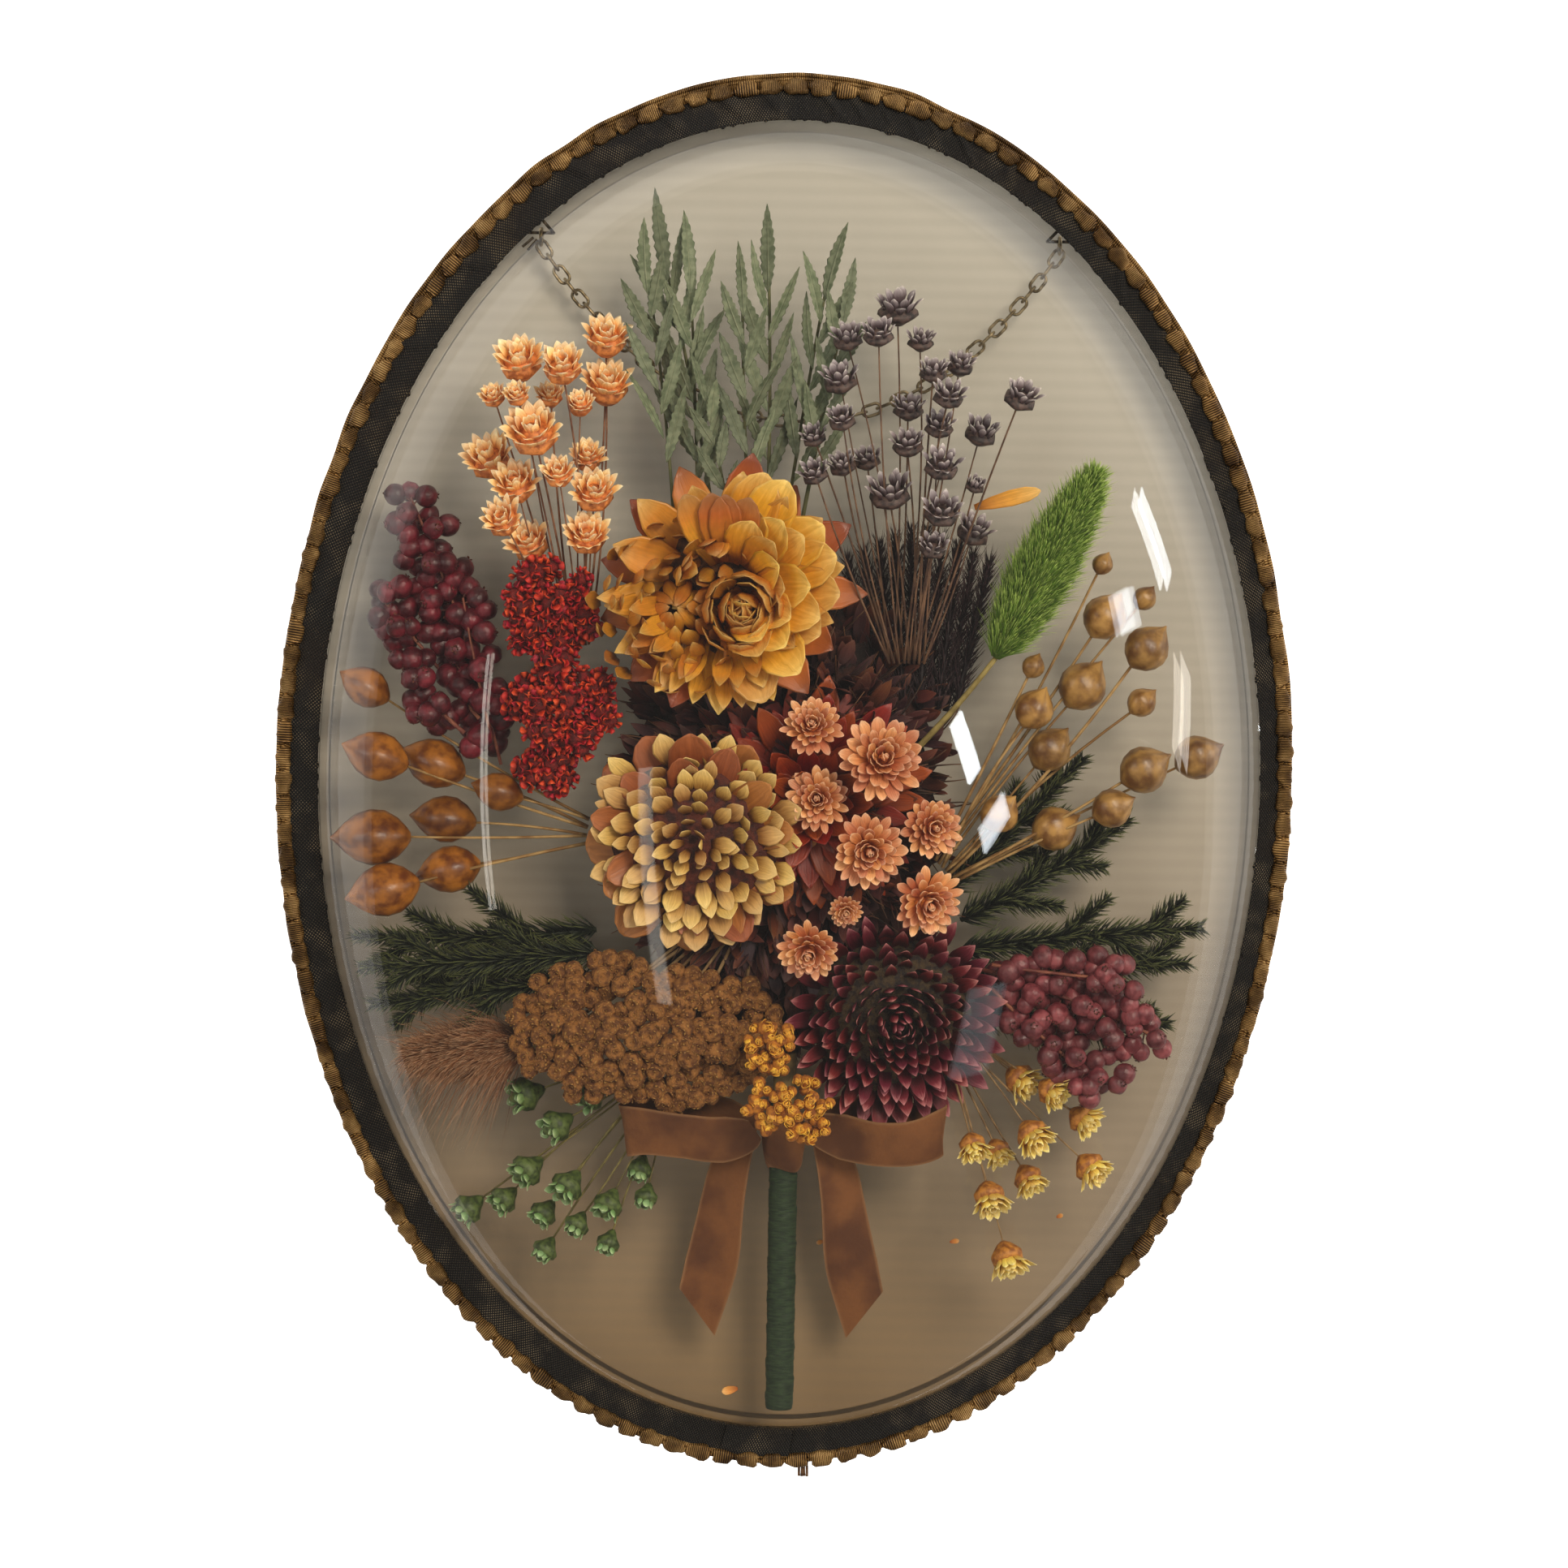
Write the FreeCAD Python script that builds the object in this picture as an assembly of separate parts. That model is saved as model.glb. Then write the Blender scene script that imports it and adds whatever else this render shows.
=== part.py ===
import FreeCAD, Part
import math
import os

# An oval, domed glass wall frame: a bulged front glass and a flat back glass, bound together round their edge
# with black woven tape and trimmed with a scalloped gold braid. A chain hangs from two wire staples on the back,
# and a bouquet of dried flowers is sealed between the glasses.
# Millimetres. +X is to the right and +Z up, seen from the front, and the front faces -Y.
# The origin is the middle of the oval, on the back plane of the binding tape, which rests on the wall.

V = FreeCAD.Vector

# ---- the two glasses and their binding ----
TAPE_THICK = 0.8
BACK_THICK = 2.0
GLASS_THICK = 1.8
GLASS_HALF = (91.5, 126.5)          # half width and half height of the flat back glass and of the dome's lip
DOME_HALF = (86.9, 120.9)           # the dome's wall where it rises from the lip
DOME_CENTRE = (0.9, -0.4)           # the bulge sits a little off the middle of the hand-cut lip
DOME_HEIGHT = 46.0
DOME_POWER = 2.4                    # 2 is an ellipsoid; more gives steeper walls and a flatter crown
TAPE_HALF = (92.3, 127.3)
TAPE_BACK_OPENING = (89.0, 123.0)
TAPE_FRONT_OPENING = (87.1, 121.1)
SEAT_GAP = 0.05

BACK_GLASS_Y = -TAPE_THICK
ROOM_Y = BACK_GLASS_Y - BACK_THICK              # inner face of the back glass, where the dome's lip sits
LIP_Y = ROOM_Y - GLASS_THICK
FRONT_Y = LIP_Y - TAPE_THICK
ROOM_HALF = (DOME_HALF[0] - GLASS_THICK, DOME_HALF[1] - GLASS_THICK)
ROOM_HEIGHT = DOME_HEIGHT - GLASS_THICK

# ---- braid ----
BRAID_HALF = (93.7, 128.4)
BRAID_RISE = 0.6                    # the braid stands higher over the top than under the bottom
BRAID_BACK_Y = -0.3
LOBE_COUNT = 150
LOBE_HALF = (2.2, 1.5)              # along the edge, and across it
LOBE_THICK = 0.9
LOBE_LINE = (92.4, 127.5)

# ---- hanging chain and its staples ----
WIRE_R = 0.3
BAR_Y = 2.2
BAR_Z = 99.8
BAR_X = (-46.6, 49.2)
BAR_HALF = 2.3
RING_R = 1.5
RING_WIRE_R = 0.35
RUNNING_GAP = 0.1
LINK_COUNT = 43
LINK_PITCH = 2.8
LINK_HALF_STRAIGHT = 0.75
LINK_BEND_R = 1.0

# ---- stem, bow and filling ----
STEM_X = 1.1
STEM_TOP = (-11.0, -50.0)           # y and z
STEM_FOOT = (-6.0, -117.3)
STEM_CORE_R = 2.1
STEM_TAPE_R = 2.7
STEM_TAPE_TOP_Z = -60.0
RIBBON_WIDTH = 10.0
RIBBON_THICK = 0.5
KNOT_TOP_Z = -62.0
KNOT_R = 4.0
LOOP_HALF = (12.0, 3.6)             # half length and half depth of a bow's loop
LOOP_START = 5.2                    # from the stem to the near end of a loop
LOOP_Z = -69.0
LOOP_DEPTH = 11.8
TAIL_START = (8.3, -66.2)           # from the stem, and z
TAIL_SLOPE = 0.19                   # outward for each millimetre down
TAIL_DEPTH = 7.2
TAIL_LENGTHS = (30, 33, 38)         # outer edge, inner edge and tip of the slanted end
GOLDEN_ANGLE = math.radians(137.508)


# ---------------------------------------------------------------- helpers
def save(node, shapes):
    """Writes one named piece, as one solid or as a group of separate solids."""
    shapes = shapes if isinstance(shapes, list) else [shapes]
    solids = [solid for shape in shapes for solid in shape.Solids]
    shape = solids[0] if len(solids) == 1 else Part.makeCompound(solids)
    shape.exportStep("parts/" + node + ".step")
    print(f"{node}: {len(solids)} solids, {shape.Volume:.1f} mm3, valid {shape.isValid()}")


def unit(x, y, z):
    return V(x, y, z).normalize()


def plate(half, back_y, front_y, centre=(0, 0)):
    """A flat oval plate between two depths."""
    middle = V(centre[0], back_y, centre[1])
    edge = Part.Ellipse(middle + V(0, 0, half[1]), middle + V(half[0], 0, 0), middle).toShape()
    return Part.Face(Part.Wire(edge)).extrude(V(0, front_y - back_y, 0))


def bulge(half, height, base_y, centre, power=DOME_POWER):
    """A solid oval dome: a superellipse turned about Y, then narrowed in X."""
    points = []
    for step in range(15):
        angle = math.pi / 2 * step / 14
        reach = half[1] * math.sin(angle) ** (2 / power)
        rise = height * max(math.cos(angle), 0) ** (2 / power)
        points.append(V(0, -rise, reach))
    points[-1] = V(0, 0, half[1])
    outline = Part.BSplineCurve()
    outline.interpolate(Points=points, InitialTangent=V(0, 0, 1), FinalTangent=V(0, 1, 0))
    floor = Part.LineSegment(points[-1], V(0, 0, 0))
    axis = Part.LineSegment(V(0, 0, 0), points[0])
    face = Part.Face(Part.Wire([outline.toShape(), floor.toShape(), axis.toShape()]))
    solid = face.revolve(V(0, 0, 0), V(0, 1, 0), 360)
    narrow = FreeCAD.Matrix()
    narrow.scale(V(half[0] / half[1], 1, 1))
    solid = solid.transformGeometry(narrow)
    solid.translate(V(centre[0], base_y, centre[1]))
    return solid


def rod(start, end, radius, end_radius=None):
    """A round rod, or a cone where the two ends differ."""
    along = end - start
    if end_radius is None:
        return Part.makeCylinder(radius, along.Length, start, along)
    return Part.makeCone(radius, end_radius, along.Length, start, along)


def turned(outline, origin, axis):
    """Turns an outline of (radius, distance along the axis) points into a solid that stands at origin."""
    points = [V(radius, 0, along) for radius, along in outline]
    face = Part.Face(Part.makePolygon(points + points[:1]))
    solid = face.revolve(V(0, 0, 0), V(0, 0, 1), 360)
    solid.Placement = FreeCAD.Placement(origin, FreeCAD.Rotation(V(0, 0, 1), axis))
    return solid


def spindle(start, end, radius, fullest=0.5, blunt=0.25):
    """A pod or a grass head: it swells from one end to its fullest point, then closes to the other end."""
    length = (end - start).Length
    steps = 8
    outline = [(0, 0)]
    for step in range(steps + 1):
        share = step / steps
        bend = share / fullest / 2 if share < fullest else 0.5 + (share - fullest) / (1 - fullest) / 2
        outline.append((radius * (blunt + (1 - blunt) * math.sin(math.pi * bend)), length * share))
    outline.append((0, length))
    return turned(outline, start, end - start)


def inside(x, depth, z):
    """A point at a depth in front of the back glass."""
    return V(x, ROOM_Y - depth, z)


def free_depth(x, z, radius):
    """The greatest depth at which a ball of this radius stays clear of the dome."""
    across = (abs(x - DOME_CENTRE[0]) + radius) / ROOM_HALF[0]
    up = (abs(z - DOME_CENTRE[1]) + radius) / ROOM_HALF[1]
    share = min(across ** 2 + up ** 2, 0.995) ** (DOME_POWER / 2)
    return ROOM_HEIGHT * (1 - share) ** (1 / DOME_POWER) - 0.6


def seated(x, z, radius, depth):
    """A ball's middle at the wanted depth, moved back where the dome is low there."""
    return inside(x, max(radius + 0.3, min(depth, free_depth(x, z, radius))), z)


def keep_apart(balls, gap=0.08):
    """Drops each ball that would touch one kept before it. A ball is (middle, radius)."""
    kept = []
    for middle, radius in balls:
        if all((middle - other).Length > radius + size + gap for other, size in kept):
            kept.append((middle, radius))
    return kept


def spheres(balls):
    return [Part.makeSphere(radius, middle) for middle, radius in keep_apart(balls)]


# ---------------------------------------------------------------- glasses, binding and braid
def make_back_glass():
    save("back_glass", plate(GLASS_HALF, BACK_GLASS_Y, ROOM_Y))


def make_dome_glass():
    lip = plate(GLASS_HALF, ROOM_Y, LIP_Y)
    outside = bulge(DOME_HALF, DOME_HEIGHT, ROOM_Y, DOME_CENTRE)
    hollow = bulge(ROOM_HALF, ROOM_HEIGHT, ROOM_Y, DOME_CENTRE)
    save("dome_glass", lip.fuse(outside).cut(hollow).removeSplitter())


def make_binding_tape():
    """A channel round both glasses: a narrow flange behind, a side, and a wider flange on the dome's lip."""
    glass_seat = plate((GLASS_HALF[0] + SEAT_GAP, GLASS_HALF[1] + SEAT_GAP), BACK_GLASS_Y, LIP_Y)
    back_opening = plate(TAPE_BACK_OPENING, 1, BACK_GLASS_Y)
    front_opening = plate(TAPE_FRONT_OPENING, LIP_Y, FRONT_Y - 1, DOME_CENTRE)
    tape = plate(TAPE_HALF, 0, FRONT_Y)
    for hollow in (glass_seat, back_opening, front_opening):
        tape = tape.cut(hollow)
    for start, end in staple_legs():
        tape = tape.cut(rod(start, end, WIRE_R + 0.02))
    save("binding_tape", tape)


def make_tape_lap():
    """The tape's end laps over its start at the bottom, a second layer on the front flange."""
    outer = plate((90.6, 125.6), FRONT_Y, FRONT_Y - 0.4)
    inner = plate(TAPE_FRONT_OPENING, FRONT_Y + 1, FRONT_Y - 1, DOME_CENTRE)
    stretch = Part.makeBox(13, 4, 20, V(-10, FRONT_Y - 2, -135))
    save("tape_lap", outer.cut(inner).common(stretch))


def make_braid():
    centre = (0, BRAID_RISE)
    band = plate(BRAID_HALF, BRAID_BACK_Y, FRONT_Y, centre)
    band = band.cut(plate((TAPE_HALF[0] + 0.02, TAPE_HALF[1] + 0.02), 1, FRONT_Y - 1))
    save("braid_band", band)
    save("braid_lobes", [braid_lobe(number) for number in range(LOBE_COUNT)])
    save("braid_end", Part.makeBox(1.6, 1.2, 3.4, V(5.0, -3.4, -131.0)))


def braid_lobe(number):
    """One scallop of the braid, lying on the front edge of the tape and the band."""
    angle = 2 * math.pi * edge_share(number / LOBE_COUNT)
    middle = V(LOBE_LINE[0] * math.sin(angle), FRONT_Y, LOBE_LINE[1] * math.cos(angle))
    along = unit(LOBE_LINE[0] * math.cos(angle), 0, -LOBE_LINE[1] * math.sin(angle))
    across = V(0, 1, 0).cross(along)
    size = 1 - 0.06 * (1 + math.sin(number * 2.3))
    tip = middle + along * (LOBE_HALF[0] * size)
    flank = middle + across * (LOBE_HALF[1] * size)
    edge = Part.Ellipse(tip, flank, middle).toShape()
    return Part.Face(Part.Wire(edge)).extrude(V(0, -LOBE_THICK, 0))


def edge_share(share):
    """Turns a share of the oval's edge length into a share of its angle, so that the lobes are evenly spaced."""
    steps = 720
    lengths = [0.0]
    for step in range(steps):
        middle = 2 * math.pi * (step + 0.5) / steps
        lengths.append(lengths[-1] + math.hypot(LOBE_LINE[0] * math.cos(middle), LOBE_LINE[1] * math.sin(middle)))
    wanted = share * lengths[-1]
    for step in range(steps):
        if lengths[step + 1] >= wanted:
            part = (wanted - lengths[step]) / (lengths[step + 1] - lengths[step])
            return (step + part) / steps
    return 1.0


# ---------------------------------------------------------------- chain
LEG_Y = BACK_GLASS_Y + WIRE_R
LEG_UNDER_TAPE = 2.0


def staple_legs():
    """The start and end of each leg, on the back glass, from below a bar's end to under the tape."""
    legs = []
    for bar_x in BAR_X:
        outward = unit(bar_x / TAPE_BACK_OPENING[0] ** 2, 0, BAR_Z / TAPE_BACK_OPENING[1] ** 2)
        for end_x in (bar_x - BAR_HALF, bar_x + BAR_HALF):
            start = V(end_x, LEG_Y, BAR_Z)
            end = start
            while (end.x / TAPE_BACK_OPENING[0]) ** 2 + (end.z / TAPE_BACK_OPENING[1]) ** 2 < 1:
                end = end + outward * 0.1
            legs.append((start, end + outward * LEG_UNDER_TAPE))
    return legs


def make_staples():
    legs = staple_legs()
    for name, bar_x, pair in (("left", BAR_X[0], legs[:2]), ("right", BAR_X[1], legs[2:])):
        corners = [V(bar_x - BAR_HALF, BAR_Y, BAR_Z), V(bar_x + BAR_HALF, BAR_Y, BAR_Z)]
        wire = rod(corners[0], corners[1], WIRE_R)
        for corner, (foot, end) in zip(corners, pair):
            wire = wire.fuse([Part.makeSphere(WIRE_R, corner), rod(corner, foot, WIRE_R)])
            wire = wire.fuse([Part.makeSphere(WIRE_R, foot), rod(foot, end, WIRE_R)])
        save("staple_" + name, wire)
    tail_r = 0.25
    tail_y = BACK_GLASS_Y + tail_r + 0.02
    tails = [
        rod(V(-47.9, tail_y, 98.8), V(-49.9, tail_y, 97.0), tail_r),
        rod(V(-47.2, tail_y, 98.4), V(-48.9, tail_y, 96.4), tail_r),
    ]
    save("staple_wire_tail", tails)


def chain_curve():
    """The chain's hanging curve: a catenary between the lowest points of its two end rings."""
    drop = RING_R - RING_WIRE_R - WIRE_R - RUNNING_GAP
    top_z = BAR_Z - drop - RING_R
    reach = LINK_HALF_STRAIGHT + LINK_BEND_R - RING_WIRE_R - WIRE_R - RUNNING_GAP
    length = 2 * reach + (LINK_COUNT - 1) * LINK_PITCH
    half_span = (BAR_X[1] - BAR_X[0]) / 2
    low, high = 5.0, 500.0
    for _ in range(60):
        sweep = (low + high) / 2
        if 2 * sweep * math.sinh(half_span / sweep) > length:
            low = sweep
        else:
            high = sweep
    middle_x = (BAR_X[0] + BAR_X[1]) / 2
    low_z = top_z - sweep * (math.cosh(half_span / sweep) - 1)
    return drop, reach, length, sweep, middle_x, low_z


def chain_link():
    """One link about the origin, long along Z and flat in the XZ plane."""
    ends = LINK_HALF_STRAIGHT
    width = LINK_BEND_R
    right = Part.LineSegment(V(width, 0, -ends), V(width, 0, ends))
    top = Part.Arc(V(width, 0, ends), V(0, 0, ends + width), V(-width, 0, ends))
    left = Part.LineSegment(V(-width, 0, ends), V(-width, 0, -ends))
    bottom = Part.Arc(V(-width, 0, -ends), V(0, 0, -ends - width), V(width, 0, -ends))
    path = Part.Wire([piece.toShape() for piece in (right, top, left, bottom)])
    section = Part.Wire(Part.Circle(V(width, 0, -ends), V(0, 0, 1), WIRE_R).toShape())
    return path.makePipeShell([section], True, True)


def make_chain():
    drop, reach, length, sweep, middle_x, low_z = chain_curve()
    for name, bar_x in (("left", BAR_X[0]), ("right", BAR_X[1])):
        save("chain_ring_" + name, Part.makeTorus(RING_R, RING_WIRE_R, V(bar_x, BAR_Y, BAR_Z - drop), V(1, 0, 0)))
    pattern = chain_link()
    links = []
    for number in range(LINK_COUNT):
        along = reach + number * LINK_PITCH - length / 2
        x = sweep * math.asinh(along / sweep)
        z = low_z + sweep * (math.cosh(x / sweep) - 1)
        lean = math.degrees(math.atan2(1, math.sinh(x / sweep)))
        link = pattern.copy()
        if number % 2:
            link.rotate(V(0, 0, 0), V(0, 0, 1), 90)
        link.rotate(V(0, 0, 0), V(0, 1, 0), lean)
        link.translate(V(middle_x + x, BAR_Y, z))
        links.append(link)
    save("chain_links", links)
    print(f"chain: {length:.1f} mm between the rings' lowest points, lowest link at z {low_z:.1f}")


# ---------------------------------------------------------------- stem, bow and filling
def stem_point(z):
    share = (z - STEM_FOOT[1]) / (STEM_TOP[1] - STEM_FOOT[1])
    return V(STEM_X, STEM_FOOT[0] + share * (STEM_TOP[0] - STEM_FOOT[0]), z)


def make_stem():
    top, foot = stem_point(STEM_TOP[1]), stem_point(STEM_FOOT[1])
    tape_top = stem_point(STEM_TAPE_TOP_Z)
    save("stem_core", rod(foot, top, STEM_CORE_R))
    save("stem_tape", rod(foot, tape_top, STEM_TAPE_R).cut(rod(foot, tape_top, STEM_CORE_R)))


def ribbon_loop(side):
    """One loop of the bow: an oval tube of ribbon on its edge, leaning out and down from the knot."""
    half_length, half_depth = LOOP_HALF
    outer = Part.Ellipse(V(0, 0, 0), half_length, half_depth).toShape()
    inner = Part.Ellipse(V(0, 0, 0), half_length - RIBBON_THICK, half_depth - RIBBON_THICK).toShape()
    loop = Part.Face(Part.Wire(outer)).extrude(V(0, 0, RIBBON_WIDTH))
    loop = loop.cut(Part.Face(Part.Wire(inner)).extrude(V(0, 0, RIBBON_WIDTH)))
    loop.rotate(V(0, 0, 0), V(0, 1, 0), side * 4)
    loop.translate(inside(STEM_X + side * (half_length + LOOP_START), LOOP_DEPTH, LOOP_Z))
    return loop


def ribbon_tail(side):
    """One tail of the bow, flat and hanging outward, with a slanted end."""
    outer_length, inner_length, tip_length = TAIL_LENGTHS
    top = V(STEM_X + side * TAIL_START[0], 0, TAIL_START[1])
    down = unit(side * TAIL_SLOPE, 0, -1)
    across = unit(side, 0, TAIL_SLOPE) * (RIBBON_WIDTH / 2)
    corners = [
        top + across,
        top + down * outer_length + across,
        top + down * tip_length - across * 0.35,
        top + down * inner_length - across,
        top - across,
    ]
    tail = Part.Face(Part.makePolygon(corners + corners[:1])).extrude(V(0, -RIBBON_THICK, 0))
    tail.rotate(top, V(1, 0, 0), 9)
    tail.translate(V(0, ROOM_Y - TAIL_DEPTH, 0))
    return tail


def make_bow():
    knot = rod(stem_point(KNOT_TOP_Z), stem_point(KNOT_TOP_Z - RIBBON_WIDTH), KNOT_R)
    save("ribbon_knot", knot.cut(rod(stem_point(-50), stem_point(-80), STEM_TAPE_R)))
    for name, side in (("left", -1), ("right", 1)):
        save("ribbon_loop_" + name, ribbon_loop(side))
        save("ribbon_tail_" + name, ribbon_tail(side))


def make_filling():
    """A pad of glue on the back glass, and the flat cushion of dried moss that the stems are pushed into."""
    glue_thick = 1.5
    save("glue_pad", plate((13, 20), ROOM_Y, ROOM_Y - glue_thick, (-3, -6)))
    save("moss_core", bulge((36, 54), 10, ROOM_Y - glue_thick, (0, -6), 3.0))


# ---------------------------------------------------------------- flowers
def straw_head(x, z, depth, radius, height, axis):
    """A many-petalled head: a short neck, a flaring underside, a domed front and a flat eye."""
    neck = max(radius * 0.1, 0.6)
    outline = [
        (0, -height * 0.45),
        (neck, -height * 0.45),
        (neck, 0),
        (radius, height * 0.45),
        (radius * 0.93, height * 0.68),
        (radius * 0.7, height * 0.92),
        (radius * 0.38, height),
        (0, height),
    ]
    return turned(outline, inside(x, depth, z), unit(*axis))


def make_straw_heads():
    save("golden_strawflower", straw_head(-10.7, 35.3, 14.5, 24.0, 17, (-0.05, -1, 0.08)))
    save("cream_strawflower", straw_head(-15.9, -10.5, 15.0, 18.8, 16, (-0.08, -1, -0.05)))
    save("burgundy_strawflower", straw_head(20.9, -42.8, 12.5, 19.2, 15, (0.12, -1, -0.12)))
    save("rust_strawflower", straw_head(4.5, -3.0, 10.3, 15.5, 4.2, (0, -1, 0)))
    peach = [
        (5.1, 10.4, 5.2, 19.0), (17.3, 4.8, 7.4, 22.0), (6.2, -2.6, 5.6, 17.0), (15.2, -11.2, 6.6, 21.5),
        (26.6, -7.4, 5.4, 15.5), (25.6, -20.0, 6.2, 23.0), (5.2, -28.6, 5.4, 25.5), (11.6, -22.6, 2.9, 17.5),
    ]
    heads = []
    for x, z, radius, depth in peach:
        axis = (0.018 * (x - 10), -1, 0.018 * (z + 8))
        heads.append(straw_head(x, z, depth, radius * 0.92, radius * 0.8, axis))
    save("peach_everlastings", heads)


def gathered(middles, root, layers, spacing):
    """The lower end of each stem: side by side in the order that the heads fan out, one row for each layer."""
    centre = inside(*root)
    lean = V(0, 0, 0)
    for middle in middles:
        lean = lean + V(middle.x - centre.x, 0, middle.z - centre.z).normalize()
    lean.normalize()
    across = V(lean.z, 0, -lean.x)
    ends = {}
    for layer in range(layers):
        row = list(range(layer, len(middles), layers))
        row.sort(key=lambda number: math.atan2((middles[number] - centre).dot(across),
                                               (middles[number] - centre).dot(lean)))
        for place, number in enumerate(row):
            ends[number] = centre + across * (spacing * (place - (len(row) - 1) / 2)) + V(0, -1.6 * layer, 0)
    return ends


def star_bunch(name, heads, root, lift, step, back):
    """Small star-shaped heads in three layers, on thin stems that gather at a root in the moss.

    A head is (x, z, radius). lift is how far the heads face the front: 0 is straight along their stems.
    """
    layers = 3
    middles = [seated(x, z, radius, back + step * (number % layers)) for number, (x, z, radius) in enumerate(heads)]
    ends = gathered(middles, root, layers, 0.9)
    cups, stems = [], []
    for number, (x, z, radius) in enumerate(heads):
        outward = (middles[number] - ends[number]).normalize()
        axis = (outward + V(0, -lift, 0)).normalize()
        height = radius * 1.15
        base = middles[number] - axis * (height / 2)
        cups.append(Part.makeCone(radius * 0.4, radius * 0.88, height, base, axis))
        stems.append(rod(ends[number], base, 0.25))
    save(name + "_heads", cups)
    save(name + "_stems", stems)


def make_star_bunches():
    orange = [
        (-33.6, 79.8, 4.2), (-48.9, 75.3, 4.5), (-41.0, 74.3, 4.0), (-33.4, 71.3, 4.5), (-53.6, 69.0, 2.4),
        (-49.0, 69.2, 2.4), (-43.7, 69.3, 2.6), (-38.0, 67.7, 2.6), (-45.9, 62.3, 5.0), (-54.5, 57.6, 4.5),
        (-49.4, 53.0, 4.2), (-41.4, 55.2, 3.0), (-36.9, 58.2, 3.0), (-35.3, 51.8, 4.2), (-51.2, 46.8, 3.6),
        (-47.0, 42.4, 3.9), (-36.4, 44.0, 4.0),
    ]
    star_bunch("orange_star", orange, (-38.5, 5.0, 24.0), 0.75, 5.5, 10.0)
    grey = [
        (19.2, 85.8, 4.0), (10.1, 80.3, 3.0), (15.5, 81.0, 3.0), (23.4, 80.3, 2.6), (8.9, 72.8, 3.4),
        (9.3, 65.7, 2.7), (30.6, 76.0, 2.7), (25.6, 74.6, 2.7), (28.2, 70.2, 3.0), (21.4, 68.0, 3.0),
        (26.9, 64.8, 2.7), (41.1, 70.2, 3.3), (34.6, 63.8, 3.3), (21.3, 61.4, 3.0), (27.2, 57.6, 3.3),
        (33.9, 54.4, 1.8), (18.2, 52.5, 4.0), (27.4, 49.4, 3.4), (33.6, 45.8, 3.4), (4.4, 62.6, 2.4),
        (4.6, 56.0, 2.6), (14.1, 58.7, 2.7), (9.6, 57.6, 2.7), (26.0, 43.2, 2.6),
    ]
    star_bunch("grey_star", grey, (22.0, 7.5, 22.0), 0.45, 5.5, 10.0)
    yellow = [
        (44.4, -54.4, 3.3), (50.0, -55.8, 3.0), (46.4, -63.4, 3.3), (56.1, -61.5, 3.0), (57.4, -69.9, 3.2),
        (38.9, -75.0, 3.3), (46.3, -72.8, 3.0), (42.6, -87.0, 3.5), (35.6, -65.6, 2.8), (40.6, -67.8, 2.6),
    ]
    star_bunch("yellow_star", yellow, (30.0, 4.2, -44.5), 0.4, 4.0, 8.0)
    green = [
        (-46.6, -58.9, 3.8), (-40.6, -64.2, 3.5), (-57.0, -80.6, 3.3), (-50.4, -78.6, 3.0), (-46.0, -72.6, 3.5),
        (-38.4, -75.0, 3.5), (-43.0, -81.0, 2.9), (-42.5, -87.4, 2.7), (-36.6, -82.2, 2.7), (-24.2, -77.6, 2.6),
        (-30.9, -85.9, 2.6), (-30.9, -78.3, 3.2), (-25.4, -72.4, 2.8), (-34.4, -58.6, 3.2),
    ]
    star_bunch("green_star", green, (-20.0, 3.5, -53.0), 0.35, 2.5, 6.0)


def pod_spray(name, pods, root, radius_share, stem_radius, depth):
    """Seed pods in two layers, on stems that fan out from a root. A pod is (x, z, half length)."""
    layers = 2
    middles = [seated(x, z, half * 0.9, depth + 4.5 * (number % layers)) for number, (x, z, half) in enumerate(pods)]
    ends = gathered(middles, root, layers, 3 * stem_radius)
    shapes, stems = [], []
    for number, (x, z, half) in enumerate(pods):
        outward = (middles[number] - ends[number]).normalize()
        base = middles[number] - outward * half
        shapes.append(spindle(base, middles[number] + outward * half, half * radius_share, 0.45, 0.12))
        stems.append(rod(ends[number], base, stem_radius))
    save(name + "_pods", shapes)
    save(name + "_stems", stems)


def make_pods():
    flax = [
        (58.4, 31.5, 4.9), (65.8, 26.0, 4.9), (65.4, 34.8, 2.6), (57.2, 41.0, 2.3), (54.6, 18.8, 5.3),
        (45.4, 14.6, 4.3), (48.8, 7.0, 4.8), (45.0, 22.2, 2.5), (65.4, 15.8, 3.2), (65.9, 3.8, 5.2),
        (76.0, 5.9, 4.9), (60.2, -3.4, 4.3), (50.1, -7.6, 4.9), (39.6, -4.6, 4.2),
    ]
    pod_spray("flax", flax, (30.0, 7.0, -16.0), 0.86, 0.3, 9.0)
    amber = [
        (-77.3, 16.0, 5.2), (-74.8, 3.6, 6.4), (-64.6, 2.2, 6.4), (-75.6, -11.6, 7.4), (-62.6, -8.2, 6.2),
        (-73.2, -21.2, 7.0), (-61.6, -17.6, 6.2), (-52.4, -2.6, 5.0),
    ]
    pod_spray("amber", amber, (-36.0, 6.0, -10.0), 0.66, 0.5, 6.5)


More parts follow.
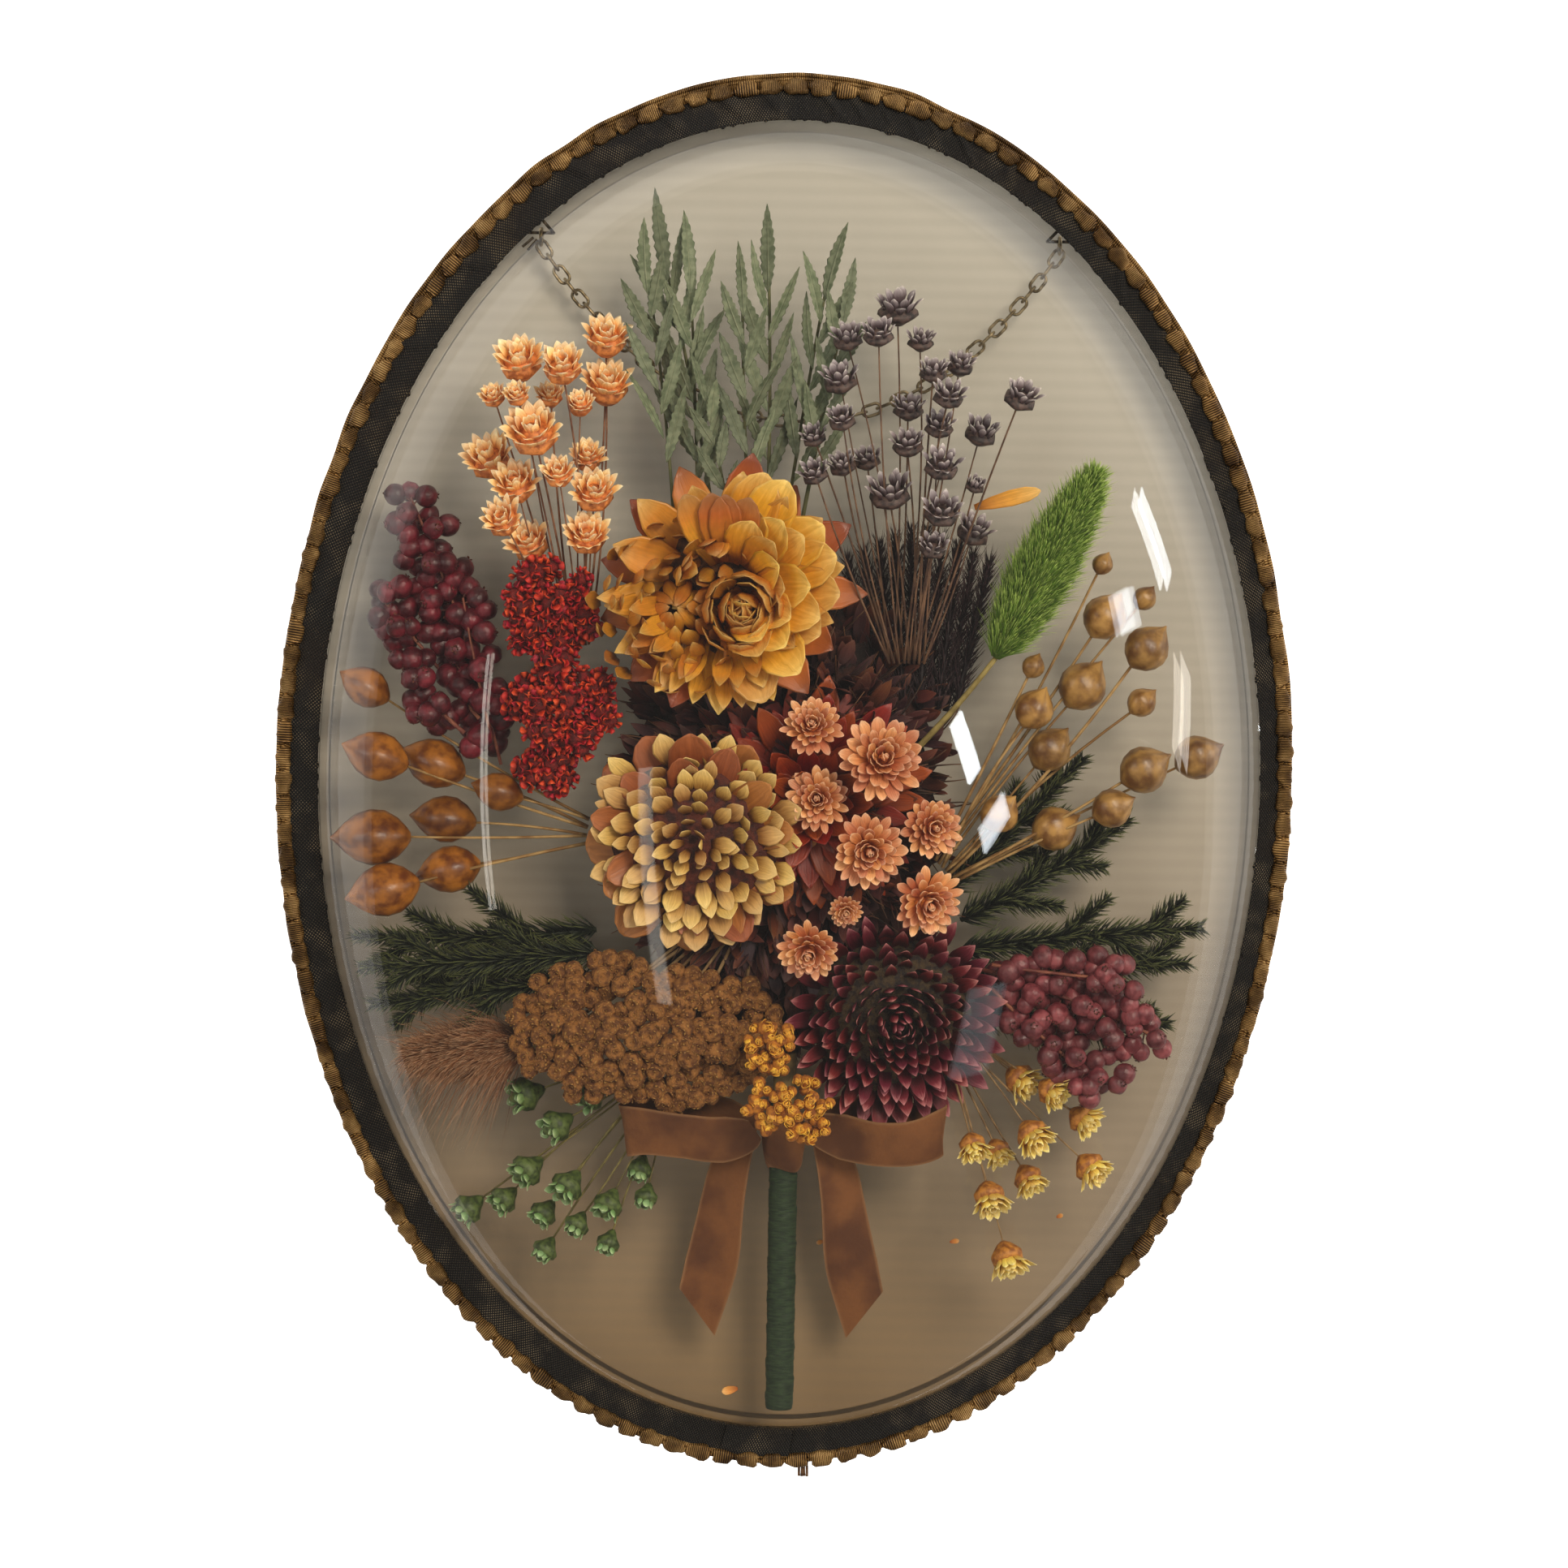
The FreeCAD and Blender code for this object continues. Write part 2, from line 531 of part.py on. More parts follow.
def berry_spray(name, branches, berry_radius, depth):
    """Berries set spirally round a few branches. A branch is (x, z) of its root and of its tip."""
    berries, stems = [], []
    for number, (root, tip) in enumerate(branches):
        start = inside(root[0], depth + 1.5 * number, root[1])
        end = seated(tip[0], tip[1], 2 * berry_radius, depth + 2.5)
        along = (end - start).normalize()
        side = along.cross(V(0, 1, 0)).normalize()
        front = along.cross(side)
        reach = berry_radius + 0.42
        steps = int((end - start).Length / (0.85 * berry_radius))
        for step in range(2, steps + 1):
            turn = step * GOLDEN_ANGLE
            size = berry_radius * (1.06 - 0.22 * step / steps)
            away = side * (reach * math.cos(turn)) + front * (reach * math.sin(turn))
            berries.append((start + along * ((end - start).Length * step / steps) + away, size))
        stems.append(rod(start, end - along * 1.5, 0.3))
    save(name + "_berries", spheres(berries))
    save(name + "_berry_stems", stems)


def make_berries():
    burgundy = [
        ((-52.0, 2.0), (-69.8, 52.0)), ((-56.0, 10.5), (-75.5, 33.5)), ((-53.6, 7.0), (-59.5, 34.0)),
        ((-58.5, 8.0), (-70.0, 18.5)),
    ]
    berry_spray("burgundy", burgundy, 2.35, 7.0)
    rose = [
        ((36.0, -33.5), (70.5, -46.0)), ((38.0, -36.5), (60.5, -55.5)), ((38.5, -32.5), (64.5, -35.0)),
    ]
    berry_spray("rose", rose, 2.15, 11.5)


def spiral_patch(centre, half, count, radius, depth, swell):
    """Balls laid out like seeds in a sunflower over an oval patch, its middle standing forward."""
    balls = []
    for number in range(count):
        share = math.sqrt((number + 0.4) / count)
        turn = number * GOLDEN_ANGLE
        x = centre[0] + half[0] * share * math.cos(turn)
        z = centre[1] + half[1] * share * math.sin(turn)
        balls.append((inside(x, depth + swell * (1 - share ** 2), z), radius * (1 - 0.12 * (number % 3) / 2)))
    return balls


def make_clusters():
    save("yarrow_bobbles", spheres(spiral_patch((-25.5, -46.0), (23.0, 10.6), 62, 1.9, 14.0, 4.5)))
    gold = spiral_patch((-2.0, -46.6), (5.0, 4.6), 14, 1.4, 22.8, 2.5)
    gold += spiral_patch((1.7, -58.3), (7.8, 6.8), 34, 1.4, 22.8, 3.5)
    save("gold_florets", spheres(gold))
    red = spiral_patch((-44.0, 32.0), (8.2, 9.4), 16, 2.3, 14.4, 2.4)
    red += spiral_patch((-40.6, 14.6), (9.0, 10.4), 20, 2.4, 13.5, 4.0)
    red += spiral_patch((-43.5, 2.6), (4.6, 5.4), 6, 2.1, 11.0, 2.0)
    save("red_celosia", spheres(red))
    stems = []
    for number in range(9):
        spread = number - 4
        top = inside(-25.5 + 4.6 * spread, 11.6, -44.0 - 1.1 * abs(spread))
        stems.append(rod(inside(-12.0 + 1.6 * spread, 8.0 + 0.6 * (number % 2), -30.0), top, 0.4))
    save("yarrow_stems", stems)


def make_bunny_tails():
    save("green_bunny_tail", spindle(inside(38.0, 14.0, 23.5), inside(56.6, 17.5, 59.6), 6.6, 0.45, 0.2))
    save("brown_bunny_tail", spindle(inside(-45.5, 8.6, -49.6), inside(-70.0, 8.8, -52.0), 6.0, 0.45, 0.2))
    stems = [
        rod(inside(22.0, 7.0, 4.0), inside(38.0, 14.0, 23.4), 0.6),
        rod(inside(-22.0, 7.0, -41.0), inside(-45.3, 8.6, -49.6), 0.6),
    ]
    save("bunny_tail_stems", stems)


def leaf_blade(base, tip, width, y):
    """A thin pointed leaf between two arcs, flat at depth y. base and tip are (x, z)."""
    start, end = V(base[0], y, base[1]), V(tip[0], y, tip[1])
    bow = (end - start).cross(V(0, 1, 0)).normalize() * (width / 2)
    middle = (start + end) * 0.5
    edges = [Part.Arc(start, middle + bow, end).toShape(), Part.Arc(end, middle - bow, start).toShape()]
    return Part.Face(Part.Wire(edges)).extrude(V(0, -0.35, 0))


def leaf_sprig(stalks, depth):
    """Leaves set by turns along the left and right of each stalk, with a last one at its tip."""
    blades, stems = [], []
    for stalk, (root, tip, leaves) in enumerate(stalks):
        run = (tip[0] - root[0], tip[1] - root[1])
        length = math.hypot(*run)
        heading = math.atan2(run[1], run[0])
        for number in range(leaves + 1):
            share = 0.22 + 0.62 * number / leaves
            turn = 0 if number == leaves else math.radians(20) * (1 if number % 2 else -1)
            size = length * (0.27 if number == leaves else 0.30 - 0.08 * share)
            base = (root[0] + run[0] * share, root[1] + run[1] * share)
            top = (base[0] + size * math.cos(heading + turn), base[1] + size * math.sin(heading + turn))
            y = ROOM_Y - depth - 0.42 * (4 * stalk + number % 4)
            blades.append(leaf_blade(base, top, 2.2 + 0.03 * size, y))
        behind = depth - 0.8 - 0.9 * stalk
        stems.append(rod(inside(root[0], behind, root[1]), inside(tip[0], behind, tip[1]), 0.4))
    return blades, stems


def make_leaves():
    left = [
        ((-12.5, 40.0), (-24.8, 100.0), 9), ((-16.5, 42.0), (-19.0, 97.0), 7), ((-21.0, 47.0), (-27.2, 96.0), 7),
        ((-9.5, 42.0), (-16.5, 74.0), 5),
    ]
    right = [
        ((-4.0, 42.0), (-4.6, 98.0), 8), ((-1.0, 43.0), (7.2, 96.0), 8), ((2.2, 46.0), (10.4, 90.0), 6),
        ((-7.0, 44.0), (-9.2, 92.0), 6),
    ]
    left_blades, left_stems = leaf_sprig(left, 7.6)
    right_blades, right_stems = leaf_sprig(right, 7.6)
    save("sage_leaves_left", left_blades)
    save("sage_leaves_right", right_blades)
    save("sage_stems", left_stems + right_stems)


def make_moss_sprigs():
    """Club-moss sprigs, each the plain outer shape of its needles."""
    right = [
        ((30.0, -20.0), 4.0, (55.0, 5.5)), ((33.0, -25.5), 4.0, (63.5, -5.5)), ((33.0, -31.0), 4.0, (77.5, -26.6)),
        ((34.0, -36.5), 4.0, (75.0, -33.0)), ((33.5, -42.0), 4.0, (71.5, -42.5)),
    ]
    left = [
        ((-34.0, -28.0), 8.0, (-78.0, -29.0)), ((-33.0, -32.0), 12.5, (-77.0, -35.5)),
        ((-34.0, -37.0), 8.5, (-75.0, -42.5)), ((-35.0, -31.0), 3.5, (-68.0, -38.0)),
    ]
    for name, sprigs in (("left", left), ("right", right)):
        cones = []
        for root, depth, tip in sprigs:
            end = seated(tip[0], tip[1], 1.2, depth)
            cones.append(rod(inside(root[0], depth, root[1]), end, 2.1, 0.9))
        save("moss_sprigs_" + name, cones)


def make_dark_bunch():
    """Dark dried stalks that fan out behind the golden head and the grey stars."""
    stalks = []
    for number in range(10):
        spread = number - 4.5
        row = 2.4 * (number % 2)
        root = inside(24.0 + 1.6 * spread, 2.2 + row, 13.0)
        top = inside(24.0 + 2.9 * spread, 2.2 + row, 47.0 - 1.4 * abs(spread))
        stalks.append(spindle(root, top, 1.05, 0.35, 0.3))
    save("dark_dried_bunch", stalks)


def make_loose_petals():
    """Petals and crumbs that have dropped: they rest against the back glass, near the foot."""
    resting = ROOM_Y - 0.1
    petals = [
        leaf_blade((34.0, 50.6), (46.2, 54.0), 3.0, ROOM_Y - 5.0),
        leaf_blade((-9.7, -115.1), (-6.7, -114.5), 1.6, resting),
        leaf_blade((32.4, -86.2), (34.2, -85.8), 0.9, resting),
        leaf_blade((52.2, -81.2), (53.4, -80.6), 0.8, resting),
        leaf_blade((7.5, -86.8), (8.9, -86.4), 0.8, resting),
    ]
    save("loose_petals", petals)


os.makedirs("parts", exist_ok=True)
make_back_glass()
make_dome_glass()
make_binding_tape()
make_tape_lap()
make_braid()
make_staples()
make_chain()
make_stem()
make_bow()
make_filling()
make_straw_heads()
make_star_bunches()
make_pods()
make_berries()
make_clusters()
make_bunny_tails()
make_leaves()
make_moss_sprigs()
make_dark_bunch()
make_loose_petals()
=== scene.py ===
import copy
import functools
import math

import bpy
import numpy as np
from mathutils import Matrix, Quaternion, Vector


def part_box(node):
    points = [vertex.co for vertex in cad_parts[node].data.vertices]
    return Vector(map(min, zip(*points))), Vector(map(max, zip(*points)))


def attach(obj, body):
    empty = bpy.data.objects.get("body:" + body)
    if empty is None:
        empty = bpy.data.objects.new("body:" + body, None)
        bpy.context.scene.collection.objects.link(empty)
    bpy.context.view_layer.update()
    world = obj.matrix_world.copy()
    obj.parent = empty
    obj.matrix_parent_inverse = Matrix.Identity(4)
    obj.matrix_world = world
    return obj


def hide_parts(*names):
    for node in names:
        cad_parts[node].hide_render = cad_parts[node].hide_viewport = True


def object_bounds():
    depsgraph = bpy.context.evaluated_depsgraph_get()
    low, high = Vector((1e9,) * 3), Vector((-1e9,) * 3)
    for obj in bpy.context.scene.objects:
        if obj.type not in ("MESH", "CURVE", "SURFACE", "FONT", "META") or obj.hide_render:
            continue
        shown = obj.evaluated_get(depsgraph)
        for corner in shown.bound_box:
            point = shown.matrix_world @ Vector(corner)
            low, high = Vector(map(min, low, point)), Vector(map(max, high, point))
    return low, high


# The looks of an oval, domed glass wall frame with a dried-flower bouquet inside.
# Metres. +X is to the right and +Z up, seen from the front, and the front faces -Y.

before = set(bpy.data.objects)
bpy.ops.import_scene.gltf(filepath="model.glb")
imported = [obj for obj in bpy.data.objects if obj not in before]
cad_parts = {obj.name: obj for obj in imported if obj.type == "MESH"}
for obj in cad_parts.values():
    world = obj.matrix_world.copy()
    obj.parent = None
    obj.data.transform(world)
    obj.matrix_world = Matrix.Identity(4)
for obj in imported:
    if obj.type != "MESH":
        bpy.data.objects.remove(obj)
cad_box = [list(corner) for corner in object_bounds()]

MM = 0.001
FRONT = np.array([0.0, -1.0, 0.0])
UP = np.array([0.0, 0.0, 1.0])
ORIGIN = (0.0, 0.0)                  # the middle of the oval, as (x, z)
GOLDEN_ANGLE = math.pi * (3 - math.sqrt(5))


# ---------------------------------------------------------------- arrays and directions
def unit(vectors):
    vectors = np.asarray(vectors, float)
    return vectors / np.maximum(np.linalg.norm(vectors, axis=-1, keepdims=True), 1e-12)


def square_to(axis):
    """Two directions at right angles to an axis: for an axis towards the front, right and up."""
    axis = unit(axis)
    helper = UP if abs(axis[2]) < 0.9 else FRONT
    first = unit(np.cross(helper, axis))
    return first, np.cross(axis, first)


def between(low, high, share):
    return low + (high - low) * share


def turns(count):
    """Angles spread evenly over a full turn, from zero."""
    return np.arange(count) * 2 * math.pi / count


def box(node):
    low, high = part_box(node)
    return np.array(low), np.array(high)


# ---------------------------------------------------------------- reading the CAD solids
class Solid:
    """One solid of a CAD node: its corner points, and each triangle's middle, normal and area."""

    def __init__(self, points, middles, normals, areas):
        self.points = points
        self.middles = middles
        self.normals = normals
        self.areas = areas
        self.centre = points.mean(0)

    def long_axis(self):
        """The two ends of a long solid, the one nearer the bouquet's heart first."""
        spread = self.points - self.centre
        axis = np.linalg.svd(spread, full_matrices=False)[2][0]
        along = spread @ axis
        ends = [self.centre + axis * along.min(), self.centre + axis * along.max()]
        return sorted(ends, key=lambda end: np.linalg.norm(end - HEART))

    def girth(self):
        """The greatest distance from the long axis."""
        start, end = self.long_axis()
        return self.reach(start, unit(end - start))

    def reach(self, origin, axis):
        away = self.points - origin
        return np.linalg.norm(away - np.outer(away @ axis, axis), axis=1).max()

    def front(self):
        """Middle and outward normal of the largest flat face."""
        keys = np.round(self.normals, 2)
        kinds, which = np.unique(keys, axis=0, return_inverse=True)
        totals = np.bincount(which.ravel(), self.areas)
        flat = which.ravel() == totals.argmax()
        middle = np.average(self.middles[flat], axis=0, weights=self.areas[flat])
        return middle, unit(np.average(self.normals[flat], axis=0, weights=self.areas[flat]))


def solids(node):
    """The separate solids of a CAD node, sorted from left to right."""
    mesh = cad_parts[node].data
    mesh.calc_loop_triangles()
    points = np.empty(len(mesh.vertices) * 3)
    mesh.vertices.foreach_get("co", points)
    points = points.reshape(-1, 3)
    corners = np.empty(len(mesh.loop_triangles) * 3, int)
    mesh.loop_triangles.foreach_get("vertices", corners)
    welded, weld = np.unique(np.round(points, 7), axis=0, return_inverse=True)
    triangles = weld.ravel()[corners].reshape(-1, 3)
    label = np.arange(len(welded))
    while True:
        lowest = label[triangles].min(axis=1)
        merged = label.copy()
        for corner in range(3):
            np.minimum.at(merged, triangles[:, corner], lowest)
        merged = merged[merged]
        if (merged == label).all():
            break
        label = merged
    found = []
    owner = label[triangles[:, 0]]
    for number in np.unique(owner):
        mine = welded[triangles[owner == number]]
        cross = np.cross(mine[:, 1] - mine[:, 0], mine[:, 2] - mine[:, 0])
        found.append(Solid(welded[label == number], mine.mean(1), unit(cross),
                           np.linalg.norm(cross, axis=1) / 2))
    return sorted(found, key=lambda solid: (round(solid.centre[0], 5), round(solid.centre[2], 5)))


HEART = sum(box("moss_core")) / 2


# ---------------------------------------------------------------- mesh building
class Shapes:
    """Gathers many small lofted shapes into one mesh.

    Each point carries paint: the share along its shape, the share across it, a chance value and a tone.
    """

    def __init__(self):
        self.points, self.paints, self.faces = [], [], []
        self.total = 0
        self.finish = 0              # which of the piece's materials the next shapes have

    def loft(self, rings, paint, ring_closed=False):
        """Skins each shape from section to section. rings is (shapes, sections, corners, 3)."""
        many, sections, corners, _ = rings.shape
        index = self.total + np.arange(many * sections * corners).reshape(many, sections, corners)
        here = index if ring_closed else index[:, :-1]
        ahead = np.roll(index, -1, axis=1) if ring_closed else index[:, 1:]
        quads = np.stack([here, np.roll(here, -1, axis=2), np.roll(ahead, -1, axis=2), ahead], axis=-1)
        self.faces.append((quads.reshape(-1, 4), self.finish))
        if not ring_closed:
            self.faces.append((index[:, 0, ::-1], self.finish))
            self.faces.append((index[:, -1], self.finish))
        self.points.append(rings.reshape(-1, 3))
        self.paints.append(np.broadcast_to(paint, (many, sections, corners, 4)).reshape(-1, 4))
        self.total += many * sections * corners

    def build(self, name, materials, replaces=(), body="root", crease=None):
        """Makes the piece, and hides the CAD nodes that it stands for."""
        sizes = np.concatenate([np.full(len(group), group.shape[1]) for group, _ in self.faces])
        mesh = bpy.data.meshes.new(name)
        mesh.vertices.add(self.total)
        mesh.vertices.foreach_set("co", np.concatenate(self.points).ravel())
        mesh.loops.add(int(sizes.sum()))
        mesh.loops.foreach_set("vertex_index", np.concatenate([group.ravel() for group, _ in self.faces]))
        mesh.polygons.add(len(sizes))
        mesh.polygons.foreach_set("loop_start", np.concatenate([[0], np.cumsum(sizes)[:-1]]))
        finishes = np.concatenate([np.full(len(group), finish) for group, finish in self.faces])
        for material in materials:
            mesh.materials.append(material)
        mesh.polygons.foreach_set("material_index", finishes)
        mesh.update(calc_edges=True)
        mesh.shade_smooth()
        if crease:
            mesh.set_sharp_from_angle(angle=crease)
        paint = mesh.attributes.new("paint", "FLOAT_COLOR", "POINT")
        paint.data.foreach_set("color", np.concatenate(self.paints).ravel())
        piece = bpy.data.objects.new(name, mesh)
        bpy.context.scene.collection.objects.link(piece)
        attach(piece, body)
        if replaces:
            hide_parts(*replaces)
        return piece


# A section is a closed line of (across, through), in shares of half the width and half the thickness.
def round_section(corners):
    angle = turns(corners)
    return np.stack([np.cos(angle), np.sin(angle)], axis=1)


PETAL_SECTION = np.array([(-1, 0), (-0.82, -1), (0, -1), (0.82, -1), (1, 0), (0.82, 1), (0, 1), (-0.82, 1)],
                         float)
THIN_SECTION = np.array([(-1, 0), (0, -1), (1, 0), (0, 1)], float)


def swept(path, up, half_width, half_thick, section, cup=0.0):
    """Rings round each path, all (shapes, sections, ...). cup lifts the edges towards up."""
    heading = unit(np.gradient(path, axis=1))
    side = unit(np.cross(up, heading))
    lift = np.cross(heading, side)
    across = half_width[..., None] * section[:, 0]
    through = half_thick[..., None] * section[:, 1] + cup * half_width[..., None] * section[:, 0] ** 2
    return path[:, :, None] + side[:, :, None] * across[..., None] + lift[:, :, None] * through[..., None]


def paint_for(count, shares, section, chance, tone):
    """Paint values for lofted shapes: along, across, chance and tone."""
    paint = np.empty((count, len(shares), len(section), 4))
    paint[..., 0] = np.asarray(shares)[None, :, None]
    paint[..., 1] = 0.5 + 0.5 * section[:, 0]
    paint[..., 2] = np.broadcast_to(chance, count)[:, None, None]
    paint[..., 3] = np.broadcast_to(tone, count)[:, None, None]
    return paint


# A petal's outline is (share along, share of its full width).
POINTED = np.array([(0, 0.35), (0.22, 0.72), (0.5, 1.0), (0.74, 0.82), (0.9, 0.42), (1, 0.04)])
ROUNDED = np.array([(0, 0.35), (0.25, 0.75), (0.55, 1.0), (0.8, 0.92), (0.94, 0.55), (1, 0.12)])
NARROW = np.array([(0, 0.5), (0.3, 0.9), (0.6, 1.0), (0.85, 0.7), (1, 0.05)])


def add_petals(shapes, base, out, up, length, width, rise, curl, outline, chance, tone, cup=0.25,
               thick=0.05 * MM,
               section=PETAL_SECTION):
    """Thin petals. rise tips each one from out towards up, and curl bends it further along it (radians)."""
    count = len(base)
    shares = outline[:, 0]
    angle = np.broadcast_to(rise, count)[:, None] + np.broadcast_to(curl, count)[:, None] * shares
    heading = out[:, None] * np.cos(angle)[..., None] + up[:, None] * np.sin(angle)[..., None]
    normal = up[:, None] * np.cos(angle)[..., None] - out[:, None] * np.sin(angle)[..., None]
    steps = np.broadcast_to(length, count)[:, None] * np.diff(shares, prepend=0)
    path = base[:, None] + np.cumsum(heading * steps[..., None], axis=1)
    half_width = np.broadcast_to(width, count)[:, None] / 2 * outline[:, 1]
    half_thick = np.full_like(half_width, thick)
    rings = swept(path, normal, half_width, half_thick, section, cup)
    shapes.loft(rings, paint_for(count, shares, section, chance, tone))


def add_tubes(shapes, path, radius, corners=6, chance=0.5, tone=0.5):
    """Round strands along paths (shapes, sections, 3), with a radius for each section."""
    count, sections, _ = path.shape
    section = round_section(corners)
    heading = unit(path[:, -1] - path[:, 0])
    helper = np.where(np.abs(heading[:, 2:]) < 0.9, UP, FRONT)
    up = np.broadcast_to(unit(np.cross(heading, helper))[:, None], path.shape)
    radius = np.broadcast_to(radius, (count, sections))
    rings = swept(path, up, radius, radius, section)
    shapes.loft(rings, paint_for(count, np.linspace(0, 1, sections), section, chance, tone))


def bowed(starts, ends, bow, sections, random):
    """Paths from starts to ends that bow a little to a chance side."""
    shares = np.linspace(0, 1, sections)[None, :, None]
    run = ends - starts
    side = unit(np.cross(run, random.normal(size=run.shape)))
    reach = (np.linalg.norm(run, axis=1) * bow * random.uniform(0.3, 1, len(run)))[:, None, None]
    return starts[:, None] + run[:, None] * shares + side[:, None] * reach * 4 * shares * (1 - shares)


def bloom(shapes, random, centre, axis, radius, whorls, outline=POINTED, cup=0.25, section=PETAL_SECTION,
          jitter=1.0):
    """A head of petals. Sizes in a whorl are shares of the head's radius, and angles are degrees.

    A whorl is (count, start, height, length, width, rise, curl, tone).
    """
    right, top = square_to(axis)
    for number, (count, start, height, length, width, rise, curl, tone) in enumerate(whorls):
        turn = number * GOLDEN_ANGLE + turns(count)
        turn = turn + jitter * random.normal(0, 0.35 / count, count) * 2
        out = np.outer(np.cos(turn), right) + np.outer(np.sin(turn), top)
        base = centre + out * (start * radius) + axis * (height * radius)
        add_petals(
            shapes, base, out, np.broadcast_to(axis, (count, 3)),
            length * radius * (1 + jitter * random.normal(0, 0.07, count)),
            width * radius * (1 + jitter * random.normal(0, 0.1, count)),
            np.radians(rise + jitter * random.normal(0, 6, count)),
            np.radians(curl + jitter * random.normal(0, 8, count)),
            outline, random.uniform(0, 1, count), tone, cup, section=section)


def add_bodies(shapes, start, end, profile, corners, ripple=0.0, lobes=0, chance=0.5, tone=0.5):
    """A turned body from start to end. profile is (share along, radius), and lobes flute its sides."""
    heading = unit(end - start)
    first, second = square_to(heading)
    angle = turns(corners)
    flute = 1 + ripple * np.cos(lobes * angle)
    shares, radii = profile[:, 0], profile[:, 1]
    centres = start + np.outer(shares, end - start)
    circle = np.outer(np.cos(angle) * flute, first) + np.outer(np.sin(angle) * flute, second)
    rings = centres[:, None] + circle[None] * radii[:, None, None]
    section = np.stack([np.cos(lobes * angle) if lobes else np.cos(angle), np.sin(angle)], axis=1)
    shapes.loft(rings[None], paint_for(1, shares, section, chance, tone))


# ---------------------------------------------------------------- materials
def colour(red, green, blue):
    """A display colour of 0 to 255 as a linear one."""
    return tuple((value / 255) ** 2.2 for value in (red, green, blue)) + (1.0,)


class Look:
    """A procedural material under construction, with one Principled surface."""

    def __init__(self, name, roughness=0.6, **settings):
        self.material = bpy.data.materials.new(name)
        self.material.use_nodes = True
        self.tree = self.material.node_tree
        self.tree.nodes.clear()
        self.output = self.tree.nodes.new("ShaderNodeOutputMaterial")
        self.surface = self.node("ShaderNodeBsdfPrincipled", {"Roughness": roughness, **settings})
        self.link(self.surface.outputs[0], self.output.inputs["Surface"])

    def link(self, source, target):
        self.tree.links.new(source, target)

    def node(self, kind, inputs=None, **settings):
        made = self.tree.nodes.new(kind)
        for key, value in settings.items():
            setattr(made, key, value)
        for key, value in (inputs or {}).items():
            if isinstance(value, bpy.types.NodeSocket):
                self.link(value, made.inputs[key])
            else:
                made.inputs[key].default_value = value
        return made

    def set(self, **sockets):
        names = {"base": "Base Color", "rough": "Roughness", "normal": "Normal", "metal": "Metallic"}
        for key, value in sockets.items():
            self.link(value, self.surface.inputs[names[key]])

    def paint(self):
        """Sockets for along, across, chance and tone."""
        attribute = self.node("ShaderNodeAttribute", attribute_name="paint")
        split = self.node("ShaderNodeSeparateColor", {"Color": attribute.outputs["Color"]})
        return split.outputs[0], split.outputs[1], split.outputs[2], attribute.outputs["Alpha"]

    def math(self, operation, first, second=0.0, clamp=False):
        made = self.node("ShaderNodeMath", {0: first, 1: second}, operation=operation, use_clamp=clamp)
        return made.outputs[0]

    def plus(self, first, second, clamp=False):
        return self.math("ADD", first, second, clamp)

    def less(self, first, second):
        return self.math("SUBTRACT", first, second)

    def times(self, first, second):
        return self.math("MULTIPLY", first, second)

    def ramp(self, share, stops):
        made = self.node("ShaderNodeValToRGB", {"Fac": share})
        elements = made.color_ramp.elements
        while len(elements) < len(stops):
            elements.new(0.5)
        for element, (position, value) in zip(elements, stops):
            element.position = position
            element.color = value if len(value) == 4 else colour(*value)
        return made.outputs["Color"]

    def steps(self, share, low, high):
        """0 below low, 1 above high, and a smooth rise between."""
        made = self.node("ShaderNodeMapRange", {"Value": share, "From Min": low, "From Max": high},
                         interpolation_type="SMOOTHSTEP")
        return made.outputs["Result"]

    def place(self):
        return self.node("ShaderNodeTexCoord").outputs["Object"]

    def noise(self, scale, detail=2.0, vector=None, roughness=0.5):
        made = self.node("ShaderNodeTexNoise", {"Scale": scale, "Detail": detail, "Roughness": roughness,
                                                "Vector": vector or self.place()})
        return made.outputs["Fac"]

    def vector(self, x, y, z):
        return self.node("ShaderNodeCombineXYZ", {"X": x, "Y": y, "Z": z}).outputs[0]

    def mix(self, share, first, second, blend="MIX"):
        made = self.node("ShaderNodeMix", {0: share}, data_type="RGBA", blend_type=blend)
        for socket, value in ((made.inputs[6], first), (made.inputs[7], second)):
            if isinstance(value, bpy.types.NodeSocket):
                self.link(value, socket)
            else:
                socket.default_value = value if len(value) == 4 else colour(*value)
        return made.outputs[2]

    def vary(self, base, hue=0.5, saturation=1.0, value=1.0):
        made = self.node("ShaderNodeHueSaturation", {"Hue": hue, "Saturation": saturation, "Value": value,
                                                     "Color": base})
        return made.outputs["Color"]

    def uneven(self, base, chance, spread, low, saturation=1.0):
        """The base colour, from low to low + spread as bright by its chance value."""
        return self.vary(base, 0.5, saturation, self.plus(self.times(chance, spread), low))

    def bump(self, height, distance):
        made = self.node("ShaderNodeBump", {"Height": height, "Distance": distance, "Strength": 1.0})
        self.set(normal=made.outputs["Normal"])


def coat(node, material):
    """Gives a CAD node that stays in view its material."""
    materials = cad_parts[node].data.materials
    materials.clear()
    materials.append(material)


